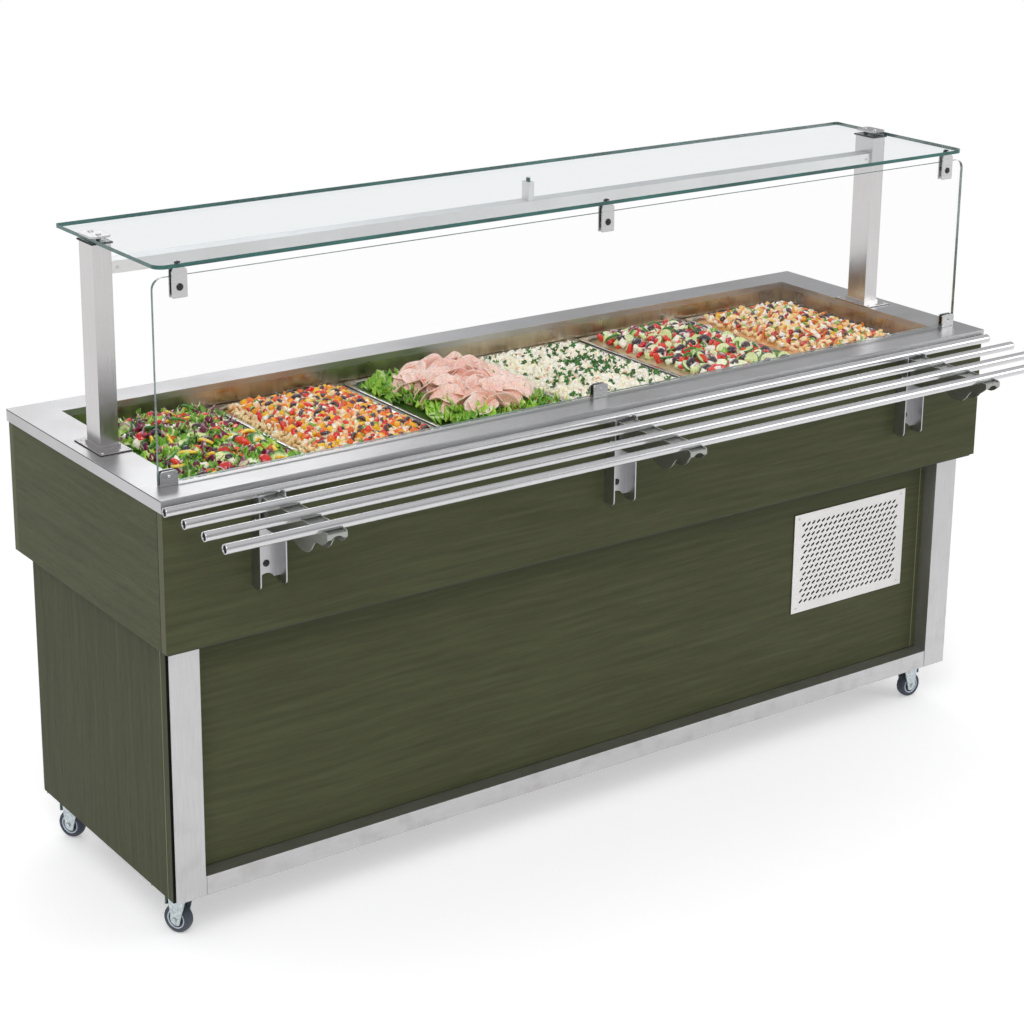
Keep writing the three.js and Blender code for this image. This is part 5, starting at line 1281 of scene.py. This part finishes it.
def food_bed(index, heap, seed):
    """Heaped surface inside the pan; its edge attribute runs from 0 at the middle to 1 at the wall."""
    low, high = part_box(pan_node(index))
    cx = middle(low.x, high.x)
    cy = middle(low.y, high.y)
    half_x = (high.x - low.x) / 2 - PAN_BOWL_INSET - FOOD_WALL_GAP
    half_y = (high.y - low.y) / 2 - PAN_BOWL_INSET - FOOD_WALL_GAP
    bm = bmesh.new()
    loops = []
    shares = []
    for ring in range(FOOD_RINGS):
        s = 1 - ring / FOOD_RINGS
        loop = rounded_loop(cx, cy, half_x * s, half_y * s, PAN_BOWL_CORNER * s, 0.0, 6, FOOD_SIDE_POINTS)
        for point in loop:
            spot = Vector((point.x * FOOD_LUMP_SCALE + seed, point.y * FOOD_LUMP_SCALE, seed))
            lumps = noise.fractal(spot, 1.0, 2.0, 3)
            rise = heap * (1 - s ** FOOD_HEAP_CURVE)
            point.z = high.z - FOOD_EDGE_DROP + rise + FOOD_LUMPS * lumps * min(1.0, 4 * (1 - s))
            shares.append(s)
        loops.append(loop)
    skin_loops(bm, loops, close_last=True)
    mesh = mesh_of(f"bed_{index}", bm)
    if mesh.polygons[0].normal.z < 0:
        mesh.flip_normals()
    layer = mesh.attributes.new("edge", "FLOAT", "POINT")
    layer.data.foreach_set("value", shares)
    return mesh


def salad(index, settings):
    """One pan's salad: the heaped bed and its strewn bits, each colour a piece of its own."""
    bed_colour, heap, lines = SALADS[index]
    bed = food_bed(index, heap * settings.heap_factor, settings.food_seed + index)
    shown = bed.copy()
    tone = shown.attributes.new("tone", "FLOAT", "POINT")
    tone.data.foreach_set("value", [0.5 + 0.5 * noise.noise(v.co * 60) for v in shown.vertices])
    piece_from(f"salad_{index}_bed", shown, pan_node(index), food_material(bed_colour))
    for number, line in enumerate(lines):
        bit, colour, spacing, share, smallest, largest, tilt, sink, rise, edge_from, edge_to = line
        source = in_scene(f"bit_{bit}", bit_mesh(bit))
        name = f"salad_{index}_{number + 1}_{bit}"
        finish = food_material(colour)
        made = run_tree(name, bed.copy(), scatter_tree, {
            "Bit": source, "Finish": MATERIALS[finish], "Spacing": spacing * MM, "Share": share,
            "Seed": settings.food_seed + 100 * index + number, "Smallest": smallest, "Largest": largest,
            "Tilt": tilt, "Sink": sink * MM, "Rise": rise * MM, "Edge From": edge_from, "Edge To": edge_to,
        })
        bpy.data.objects.remove(source)
        piece_from(name, made, pan_node(index), finish)


def food_material(colour):
    """Name of a food's material, which is made at its first use."""
    name = "food_" + colour
    if name not in MATERIALS:
        shiny = colour in SHINY_FOODS
        soft = colour.startswith("ham")
        food(name, *FOOD_COLOURS[colour], rough=0.2 if shiny else 0.42, coat=0.6 if shiny else 0.2,
             subsurface=0.2 if soft else 0.08)
    return name


def front_tomatoes():
    """Whole cherry tomatoes that stand out at the front of the fifth pan and in the first."""
    steps = 24
    for index, across, along in FRONT_TOMATOES:
        low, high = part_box(pan_node(index))
        centre = Vector((low.x + (high.x - low.x) * across, low.y + along, high.z + TOMATO_RISE))
        profile = []
        for k in range(steps + 1):
            angle = math.pi * k / steps
            dimple = 0.10 * math.exp(-((angle / 0.25) ** 2))
            reach = max(0.01 * MM, TOMATO_RADIUS * math.sin(angle))
            profile.append((reach, TOMATO_RADIUS * (0.9 * math.cos(angle) - dimple)))
        bm = lathe(profile, 40, TOMATO_LEAN, centre)
        mesh = mesh_of(f"front_tomato_{index}", bm, tone=no_tone)
        piece_from(f"front_tomato_{index}", mesh, pan_node(index), food_material("cherry"))


# ------------------------------------------------------------------ tray tubes
def tray_tube(node, body, recess):
    """Round tray rail with pressed-in end caps: bright lip, and a sunk centre painted dark as shade."""
    low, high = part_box(node)
    radius = (high.z - low.z) / 2
    centre = Vector((low.x, middle(low.y, high.y), middle(low.z, high.z)))
    length = high.x - low.x
    # Each: radius, distance in from the tube's end.
    end = [
        (0.02 * MM, recess), (0.66 * radius, recess),
        (0.74 * radius, recess * 0.8), (0.80 * radius, 0.5 * MM), (0.88 * radius, 0.0),
        (0.95 * radius, 0.25 * MM), (radius * 0.995, 1.2 * MM), (radius * 0.995, 4 * MM),
    ]
    profile = end + [(r, length - x) for r, x in reversed(end)]
    bm = lathe(profile, TUBE_SIDES, (1, 0, 0), centre)

    # Tone 1 in the sunk centre of each cap, where painted shade darkens the steel.
    def tone(co):
        reach = math.hypot(co.y - centre.y, co.z - centre.z)
        return 1.0 if reach < 0.76 * radius else 0.0

    mesh = mesh_of(node + "_tube", bm, tone=tone)
    piece = piece_from(node + "_tube", mesh, body, "tube_steel")
    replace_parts(piece, node)


# ------------------------------------------------------------------ grille
def grille_skin(settings):
    """Perforated intake plate: staggered slanted slots in a plain margin."""
    low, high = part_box("intake_grille")
    mid_x = middle(low.x, high.x)
    mid_z = middle(low.z, high.z)
    pitch_x = GRILLE_FIELD[0] / GRILLE_COLUMNS
    pitch_z = GRILLE_FIELD[1] / GRILLE_ROWS
    field_x = mid_x - GRILLE_FIELD[0] / 2
    field_z = mid_z - GRILLE_FIELD[1] / 2
    bm = bmesh.new()
    y = low.y

    def flat(points):
        bm.faces.new([bm.verts.new((x, y, z)) for x, z in points])

    def slot_outline(cx, cz):
        """Points round a slanted slot with round ends."""
        points = []
        end = settings.slot_width / 2
        half = settings.slot_length / 2 - end
        for side in (1, -1):
            for i in range(GRILLE_END_STEPS + 1):
                angle = math.radians(-90 + 180 * i / GRILLE_END_STEPS) + (0 if side == 1 else math.pi)
                u = side * half + end * math.cos(angle)
                v = end * math.sin(angle)
                points.append((
                    cx + u * math.cos(GRILLE_SLANT) - v * math.sin(GRILLE_SLANT),
                    cz + u * math.sin(GRILLE_SLANT) + v * math.cos(GRILLE_SLANT),
                ))
        return points

    def cell(x0, x1, z0, z1, cx, cz):
        """Plate round one slot, out to the cell's rectangle."""
        inner = slot_outline(cx, cz)
        outer = []
        for px, pz in inner:
            dx = px - cx
            dz = pz - cz
            reach = []
            if abs(dx) > LEVEL:
                reach.append(((x1 if dx > 0 else x0) - cx) / dx)
            if abs(dz) > LEVEL:
                reach.append(((z1 if dz > 0 else z0) - cz) / dz)
            share = min(reach)
            outer.append((cx + dx * share, cz + dz * share))
        for i in range(len(inner)):
            j = (i + 1) % len(inner)
            a = outer[i]
            b = outer[j]
            face = [inner[i], a, b, inner[j]]
            if abs(a[0] - b[0]) >= LEVEL and abs(a[1] - b[1]) >= LEVEL:
                corner_x = x1 if max(a[0], b[0]) > x1 - LEVEL else x0
                corner_z = z1 if max(a[1], b[1]) > z1 - LEVEL else z0
                face.insert(2, (corner_x, corner_z))
            flat(face)

    for row in range(GRILLE_ROWS):
        z0 = field_z + row * pitch_z
        z1 = z0 + pitch_z
        shift = pitch_x / 4 * (1 if row % 2 else -1)
        start = field_x + shift
        for column in range(GRILLE_COLUMNS):
            x0 = start + column * pitch_x
            cell(x0, x0 + pitch_x, z0, z1, x0 + pitch_x / 2, (z0 + z1) / 2)
        flat([(low.x, z0), (start, z0), (start, z1), (low.x, z1)])
        end = start + GRILLE_COLUMNS * pitch_x
        flat([(end, z0), (high.x, z0), (high.x, z1), (end, z1)])
    flat([(low.x, low.z), (high.x, low.z), (high.x, field_z), (low.x, field_z)])
    top = field_z + GRILLE_FIELD[1]
    flat([(low.x, top), (high.x, top), (high.x, high.z), (low.x, high.z)])
    bmesh.ops.remove_doubles(bm, verts=bm.verts, dist=SAME_GRILLE_POINT)
    bm.normal_update()
    for face in bm.faces:
        if face.normal.y > 0:
            face.normal_flip()
    made = sheet_from("grille_plate", mesh_from("grille_plate", bm), settings.grille_sheet)
    piece = piece_from("grille_plate", made, "cabinet", "grille_steel", smooth=False)
    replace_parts(piece, "intake_grille")


# ------------------------------------------------------------------ casters
CASTERS = ("caster_front_left", "caster_rear_left", "caster_front_right", "caster_rear_right")


def joint(name):
    """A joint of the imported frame."""
    for item in frame["joints"]:
        if item["name"] == name:
            return item
    raise RuntimeError(f"the frame has no joint named {name}")


def caster_wheel(name):
    """Tyre with a crowned tread, and a hub disc with a pale ring, on the wheel's own axle."""
    roll = joint(name + "_roll")
    centre = Vector(roll["pos_m"])
    axis = Vector(roll["axis"])
    body = name + "_wheel"
    half = WHEEL_HALF_WIDTH

    def turned(piece_name, mesh_name, profile, material_name):
        mesh = mesh_of(mesh_name, lathe(profile, WHEEL_SIDES, axis, centre))
        return piece_from(piece_name, mesh, body, material_name)

    # Each profile is a list of (radius, place along the axle).
    tread = []
    for k in range(TREAD_STEPS + 1):
        share = k / TREAD_STEPS * 2 - 1
        tread.append((WHEEL_RADIUS - TREAD_CROWN * abs(share) ** 3, (half - 1.6 * MM) * share))
    tyre = [
        (HUB_RADIUS, -half + 2.6 * MM), (HUB_RADIUS + 1.5 * MM, -half + 0.6 * MM),
        (WHEEL_RADIUS - 4.5 * MM, -half + 0.1 * MM), *tread, (WHEEL_RADIUS - 4.5 * MM, half - 0.1 * MM),
        (HUB_RADIUS + 1.5 * MM, half - 0.6 * MM), (HUB_RADIUS, half - 2.6 * MM),
    ]
    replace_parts(turned(body + "_tyre", body + "_tyre", tyre, "tyre_rubber"), body)
    for side, tag in ((-1, "in"), (1, "out")):
        face = side * (half - HUB_RECESS)
        ring = [
            (HUB_RADIUS - 2.8 * MM, face - side * 2 * MM), (HUB_RADIUS - 2.6 * MM, face + side * 0.9 * MM),
            (HUB_RADIUS - 1.2 * MM, face + side * 1.3 * MM), (HUB_RADIUS + 0.1 * MM, face + side * 0.9 * MM),
            (HUB_RADIUS + 0.2 * MM, face - side * 2 * MM),
        ]
        turned(f"{body}_ring_{tag}", f"{body}_ring", ring, "ring_nylon")
        hub = [
            (HUB_RADIUS - 2.7 * MM, face - side * 2 * MM), (HUB_RADIUS - 2.7 * MM, face - side * 0.8 * MM),
            (11 * MM, face - side * 1.4 * MM), (9.5 * MM, face + side * 0.8 * MM),
            (8.0 * MM, face + side * 1.6 * MM), (4.5 * MM, face + side * 1.8 * MM),
            (4.3 * MM, face - side * 2 * MM),
        ]
        turned(f"{body}_hub_{tag}", f"{body}_hub", hub, "hub_nylon")


# ------------------------------------------------------------------ fixings and trim
def both_ends(low, high, inset):
    """The two places that lie inset from the ends of low..high."""
    return low + inset, high - inset


def widened(edges, across, along):
    """Rectangle (x0, x1, y0, y1) with its sides moved out."""
    x0, x1, y0, y1 = edges
    return x0 - across, x1 + across, y0 - along, y1 + along


def all_fixings():
    """Screw and bolt heads on the cabinet, grouped by their form and finish."""
    clip_bolts = []
    stems = []
    small = []
    pins = []
    bracket_bolts = []
    forward = Vector((0, -1, 0))
    back = Vector((0, 1, 0))
    up = Vector((0, 0, 1))
    glass_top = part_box("top_glass")[1].z
    fold = joint("tray_slide_fold")["pos_m"]
    for i in (1, 2, 3):
        low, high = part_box(f"top_clip_{i}")
        x = middle(low.x, high.x)
        clip_bolts.append((Vector((x, low.y, low.z + TOP_CLIP_BOLT_RISE)), forward))
        stems.append((Vector((x, middle(low.y, high.y), glass_top)), up))
        low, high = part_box(f"bottom_clip_{i}")
        small.append((Vector((middle(low.x, high.x), low.y, low.z + BOTTOM_CLIP_SCREW_RISE)), forward))
        low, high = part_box(f"tray_channel_{i}")
        pins.append((Vector((low.x, fold[1], fold[2])), Vector((-1, 0, 0))))
        pins.append((Vector((high.x, fold[1], fold[2])), Vector((1, 0, 0))))
        web = high.y - CHANNEL_WEB
        bracket_bolts.append((Vector((middle(low.x, high.x), web, low.z + CHANNEL_BOLT_RISE)), forward))
    low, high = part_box("intake_grille")
    for x in both_ends(low.x, high.x, 14 * MM):
        for z in both_ends(low.z, high.z, 11 * MM):
            small.append((Vector((x, low.y, z)), forward))
    for name in ("post_left", "post_right"):
        low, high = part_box(name)
        for x in both_ends(low.x, high.x, 7 * MM):
            for y in both_ends(low.y, high.y, 8 * MM):
                small.append((Vector((x, y, low.z + FOOT_PLATE)), up))
    low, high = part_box("lamp_beam")
    for x in both_ends(low.x, high.x, 14 * MM):
        small.append((Vector((x, low.y, low.z + BEAM_SCREW_RISE)), forward))
    low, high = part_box("control_panel")
    for x in both_ends(low.x, high.x, 9 * MM):
        for z in (high.z - 9 * MM, high.z - 101 * MM):
            small.append((Vector((x, high.y, z)), back))
    for name, form, sides, socket, places, finish in (
        ("clip_bolts", DOME_CLIP, 28, 2.4 * MM, clip_bolts, "black_screw"),
        ("stem_nuts", DOME_STEM, 24, 0.0, stems, "black_screw"),
        ("small_screws", DOME_SMALL, 18, 1.3 * MM, small, "screw_steel"),
        ("pin_heads", DOME_PIN, 24, 0.0, pins, "screw_steel"),
        ("bracket_bolts", DOME_CLIP, 24, 2.4 * MM, bracket_bolts, "black_screw"),
    ):
        fixings(name, "cabinet", dome_mesh(name + "_dome", *form, sides, socket), places, finish)


def ring_pad(name, outer, inner, z0, z1):
    """Square rubber ring round a post; outer and inner are (x0, x1, y0, y1)."""
    bm = bmesh.new()

    def loop(edges, z):
        x0, x1, y0, y1 = edges
        return [Vector((x0, y0, z)), Vector((x1, y0, z)), Vector((x1, y1, z)), Vector((x0, y1, z))]

    skin_loops(bm, [loop(inner, z0), loop(outer, z0), loop(outer, z1), loop(inner, z1), loop(inner, z0)])
    bmesh.ops.remove_doubles(bm, verts=bm.verts, dist=SAME_POINT)
    bmesh.ops.bevel(bm, geom=bm.edges[:], offset=0.3 * MM, segments=1, affect="EDGES")
    piece_from(name, mesh_of(name, bm), "cabinet", "gasket_rubber", smooth=False)


def gaskets():
    """Black pads where the glass rests on the posts and round the posts' feet."""
    for node in ("post_left", "post_right"):
        low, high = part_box(node)
        cx = middle(low.x, high.x)
        cy = middle(low.y, high.y)
        post = widened((cx, cx, cy, cy), *POST_HALF)
        ring_pad(f"glass_pad_{node}", widened(post, 3 * MM, 4 * MM), widened(post, 0.1 * MM, 0.1 * MM),
                 high.z - 3.4 * MM, high.z - 0.1 * MM)
        foot = (low.x, high.x, low.y, high.y)
        ring_pad(f"foot_pad_{node}", widened(foot, 0.9 * MM, 0.9 * MM), widened(foot, 0.05 * MM, 0.05 * MM),
                 low.z - 0.2 * MM, low.z + 0.9 * MM)


def block_piece(name, low, high, radius, material_name):
    """Small block with rounded edges, between two corners."""
    bm = bmesh.new()
    bmesh.ops.create_cube(bm, size=1.0)
    for vertex in bm.verts:
        vertex.co = Vector([a + (part + 0.5) * (b - a) for part, a, b in zip(vertex.co, low, high)])
    bmesh.ops.bevel(bm, geom=bm.edges[:], offset=radius, segments=3, affect="EDGES")
    piece_from(name, mesh_of(name, bm), "cabinet", material_name)


def control_face():
    """Display window and three keys on the control box."""
    low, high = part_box("control_panel")
    face = high.y
    block_piece("display_window", (low.x + 40.5 * MM, face - 1.9 * MM, high.z - 72.5 * MM),
                (low.x + 119.5 * MM, face - 0.3 * MM, high.z - 33.5 * MM), 0.5 * MM, "display_black")
    for i in range(3):
        x = low.x + (52 + 24 * i) * MM
        block_piece(f"control_key_{i + 1}", (x, face - 0.5 * MM, high.z - 92 * MM),
                    (x + 14 * MM, face + 1.6 * MM, high.z - 82 * MM), 1.0 * MM, "button_grey")


# ------------------------------------------------------------------ stage
def make_floor():
    """Pale paper floor that fades to plain white for the camera, glass and reflections."""
    bm = bmesh.new()
    bmesh.ops.create_circle(bm, cap_ends=True, radius=FLOOR_RADIUS, segments=96)
    mesh = mesh_from("floor", bm)
    floor = in_scene("floor", mesh)
    floor.location.z = -FLOOR_DROP
    made, tree, out = material("floor_paper")
    where = place_on(tree)
    fine = fine_noise(tree, where, 160.0, 2.0)
    tone = ramp(tree, fine, [(0.3, (0.90, 0.90, 0.905, 1)), (0.7, (0.93, 0.93, 0.935, 1))])
    paper = add(tree, "ShaderNodeBsdfDiffuse", {"Color": tone})
    lift = add(tree, "ShaderNodeEmission", {"Color": WHITE, "Strength": FLOOR_LIFT})
    lit = add(tree, "ShaderNodeAddShader", {0: paper.outputs[0], 1: lift.outputs[0]})
    far = add(tree, "ShaderNodeEmission", {"Color": WHITE, "Strength": 1.0})
    distance = add(tree, "ShaderNodeVectorMath", {0: where}, operation="LENGTH").outputs["Value"]
    fade = span(tree, distance, FLOOR_NEAR, FLOOR_FAR)
    seen = add(tree, "ShaderNodeMixShader", {0: fade, 1: lit.outputs[0], 2: far.outputs[0]})
    rays = add(tree, "ShaderNodeLightPath").outputs
    bounced = maths(tree, "MAXIMUM", rays["Is Glossy Ray"], rays["Is Transmission Ray"])
    shown = maths(tree, "MAXIMUM", rays["Is Camera Ray"], bounced)
    both = add(tree, "ShaderNodeMixShader", {0: shown, 1: paper.outputs[0], 2: seen.outputs[0]})
    tree.links.new(both.outputs[0], out.inputs["Surface"])
    mesh.materials.append(made)


def make_world(settings):
    """Soft light from all round, and plain white where the camera or glass sees past the floor."""
    world = bpy.data.worlds.new("studio")
    bpy.context.scene.world = world
    world.use_nodes = True
    tree = world.node_tree
    tree.nodes.clear()
    out = tree.nodes.new("ShaderNodeOutputWorld")
    rays = add(tree, "ShaderNodeLightPath").outputs
    shown = maths(tree, "MAXIMUM", rays["Is Camera Ray"], rays["Is Transmission Ray"])
    where = add(tree, "ShaderNodeTexCoord").outputs["Generated"]
    height = axes_of(tree, where)["Z"]
    dome = ramp(tree, span(tree, height, -0.2, 0.9), [
        (0.0, (0.80, 0.80, 0.80, 1)), (0.42, (0.55, 0.555, 0.565, 1)), (1.0, (1.0, 1.0, 1.0, 1)),
    ])
    soft = add(tree, "ShaderNodeBackground", {"Color": dome, "Strength": settings.dome_strength})
    white = add(tree, "ShaderNodeBackground", {"Color": WHITE, "Strength": 1.0})
    both = add(tree, "ShaderNodeMixShader", {0: shown, 1: soft.outputs[0], 2: white.outputs[0]})
    tree.links.new(both.outputs[0], out.inputs["Surface"])


def area_light(name, place, target, size, power):
    """Rectangular soft light at place that faces target."""
    data = bpy.data.lights.new(name, "AREA")
    data.shape = "RECTANGLE"
    data.size = size[0]
    data.size_y = size[1]
    data.energy = power
    lamp = in_scene(name, data)
    lamp.location = place
    aim = Vector(target) - Vector(place)
    lamp.rotation_euler = aim.to_track_quat("-Z", "Y").to_euler()


def make_camera():
    """Camera at the place and angle that the photograph was taken from."""
    data = bpy.data.cameras.new("camera")
    data.sensor_width = CAMERA_SENSOR
    data.lens = CAMERA_LENS
    data.shift_y = CAMERA_SHIFT_Y
    data.clip_end = CAMERA_REACH
    camera = in_scene("camera", data)
    flat = math.cos(CAMERA_ELEVATION)
    look = Vector((
        -math.sin(CAMERA_AZIMUTH) * flat, math.cos(CAMERA_AZIMUTH) * flat, -math.sin(CAMERA_ELEVATION),
    ))
    right = Vector((math.cos(CAMERA_AZIMUTH), math.sin(CAMERA_AZIMUTH), 0))
    over = right.cross(look)
    rolled = right * math.cos(CAMERA_ROLL) + over * math.sin(CAMERA_ROLL)
    upward = rolled.cross(look)
    basis = Matrix((rolled, upward, -look)).transposed().to_4x4()
    camera.matrix_world = Matrix.Translation(CAMERA_AT) @ basis
    bpy.context.scene.camera = camera


# ------------------------------------------------------------------ add-on
class SaladBarSettings(bpy.types.PropertyGroup):
    """Colours, sizes and light levels that a user would change"""
    front_colour: bpy.props.FloatVectorProperty(
        name="Front boards", description="Colour of the front and rear laminate boards", subtype="COLOR",
        default=srgb("4a4d35")[:3],
    )
    # Painted shade: the lower sides are set darker than the front boards.
    side_low_shaded_colour: bpy.props.FloatVectorProperty(
        name="Lower side boards", description="Colour of the two lower side boards", subtype="COLOR",
        default=srgb("454830")[:3],
    )
    # Painted light: the upper sides are set paler than the front boards.
    side_high_lit_colour: bpy.props.FloatVectorProperty(
        name="Upper side boards", description="Colour of the two upper side boards", subtype="COLOR",
        default=srgb("4f5239")[:3],
    )
    top_glass_edge: bpy.props.FloatVectorProperty(
        name="Top glass edge", description="Darker colour of the top glass's cut edges", subtype="COLOR",
        default=srgb("053a36")[:3],
    )
    front_glass_edge: bpy.props.FloatVectorProperty(
        name="Front glass edge", description="Darker colour of the front glass's cut edges", subtype="COLOR",
        default=srgb("33504c")[:3],
    )
    pan_sheet: bpy.props.FloatProperty(
        name="Pan sheet", description="Thickness of the food pans' steel", default=1.1 * MM, unit="LENGTH",
    )
    cap_recess: bpy.props.FloatProperty(
        name="Cap recess", description="How deep the tray tubes' end caps are sunk", default=3.5 * MM,
        unit="LENGTH",
    )
    slot_length: bpy.props.FloatProperty(
        name="Slot length", description="Length of each slot in the intake grille", default=12.4 * MM,
        unit="LENGTH",
    )
    slot_width: bpy.props.FloatProperty(
        name="Slot width", description="Width of each slot in the intake grille", default=5.0 * MM,
        unit="LENGTH",
    )
    grille_sheet: bpy.props.FloatProperty(
        name="Grille sheet", description="Thickness of the intake grille's plate", default=2.4 * MM,
        unit="LENGTH",
    )
    food_seed: bpy.props.IntProperty(
        name="Food seed", description="Seed of every random choice in the salads", default=7,
    )
    heap_factor: bpy.props.FloatProperty(
        name="Heap", description="How high the salads are heaped, against the usual height", default=1.0,
        unit="NONE",
    )
    key_power: bpy.props.FloatProperty(
        name="Key light", description="Power of the large key light", default=120.0, unit="POWER",
    )
    fill_power: bpy.props.FloatProperty(
        name="Fill light", description="Power of the fill light and of the one behind", default=45.0,
        unit="POWER",
    )
    dome_strength: bpy.props.FloatProperty(
        name="Dome", description="Strength of the light from all round", default=0.75, unit="NONE",
    )


class SALADBAR_OT_surfaces(bpy.types.Operator):
    """Make the materials and put them on the frame's nodes"""
    bl_idname = "salad_bar.surfaces"
    bl_label = "Surfaces"

    def execute(self, context):
        make_materials(context.scene.salad_bar)
        dress_frame()
        return {"FINISHED"}


class SALADBAR_OT_pans(bpy.types.Operator):
    """Build the six pressed food pans"""
    bl_idname = "salad_bar.pans"
    bl_label = "Food pans"

    def execute(self, context):
        for index in range(1, PAN_COUNT + 1):
            pan_shell(index, context.scene.salad_bar.pan_sheet)
        return {"FINISHED"}


class SALADBAR_OT_salads(bpy.types.Operator):
    """Heap a salad in each pan"""
    bl_idname = "salad_bar.salads"
    bl_label = "Salads"

    def execute(self, context):
        settings = context.scene.salad_bar
        for index in range(1, PAN_COUNT + 1):
            salad(index, settings)
        front_tomatoes()
        return {"FINISHED"}


class SALADBAR_OT_tubes(bpy.types.Operator):
    """Build the tray slide's four tubes with their end caps"""
    bl_idname = "salad_bar.tubes"
    bl_label = "Tray tubes"

    def execute(self, context):
        recess = context.scene.salad_bar.cap_recess
        tray_tube("fixed_rail", "cabinet", recess)
        for index in (1, 2, 3):
            tray_tube(f"tray_rail_{index}", "tray_slide", recess)
        return {"FINISHED"}


class SALADBAR_OT_grille(bpy.types.Operator):
    """Build the perforated intake plate"""
    bl_idname = "salad_bar.grille"
    bl_label = "Intake grille"

    def execute(self, context):
        grille_skin(context.scene.salad_bar)
        return {"FINISHED"}


class SALADBAR_OT_casters(bpy.types.Operator):
    """Build the four casters' tyres and hubs"""
    bl_idname = "salad_bar.casters"
    bl_label = "Caster wheels"

    def execute(self, context):
        for name in CASTERS:
            caster_wheel(name)
        return {"FINISHED"}


class SALADBAR_OT_fittings(bpy.types.Operator):
    """Add screws, bolts, gaskets and the control box's face"""
    bl_idname = "salad_bar.fittings"
    bl_label = "Fittings"

    def execute(self, context):
        all_fixings()
        gaskets()
        control_face()
        return {"FINISHED"}


class SALADBAR_OT_stage(bpy.types.Operator):
    """Set up the floor, the lights, the world and the camera"""
    bl_idname = "salad_bar.stage"
    bl_label = "Studio"

    def execute(self, context):
        settings = context.scene.salad_bar
        make_floor()
        make_world(settings)
        for name, place, target, size, power in LIGHTS:
            area_light(name, place, target, size, getattr(settings, power))
        make_camera()
        context.scene.view_settings.view_transform = "Standard"
        return {"FINISHED"}


STEPS = (
    SALADBAR_OT_surfaces, SALADBAR_OT_pans, SALADBAR_OT_salads, SALADBAR_OT_tubes, SALADBAR_OT_grille,
    SALADBAR_OT_casters, SALADBAR_OT_fittings, SALADBAR_OT_stage,
)


class SALADBAR_PT_panel(bpy.types.Panel):
    """Settings and steps of the salad bar"""
    bl_idname = "SALADBAR_PT_panel"
    bl_label = "Salad bar"
    bl_space_type = "VIEW_3D"
    bl_region_type = "UI"
    bl_category = "Salad bar"

    def draw(self, context):
        settings = context.scene.salad_bar
        for name in SaladBarSettings.__annotations__:
            self.layout.prop(settings, name)
        for step in STEPS:
            self.layout.operator(step.bl_idname)


CLASSES = (SaladBarSettings, *STEPS, SALADBAR_PT_panel)


def register():
    for item in CLASSES:
        bpy.utils.register_class(item)
    bpy.types.Scene.salad_bar = bpy.props.PointerProperty(type=SaladBarSettings)


def unregister():
    del bpy.types.Scene.salad_bar
    for item in reversed(CLASSES):
        bpy.utils.unregister_class(item)


def main():
    register()
    bpy.ops.salad_bar.surfaces()
    bpy.ops.salad_bar.pans()
    bpy.ops.salad_bar.salads()
    bpy.ops.salad_bar.tubes()
    bpy.ops.salad_bar.grille()
    bpy.ops.salad_bar.casters()
    bpy.ops.salad_bar.fittings()
    bpy.ops.salad_bar.stage()


if __name__ == "__main__":
    main()
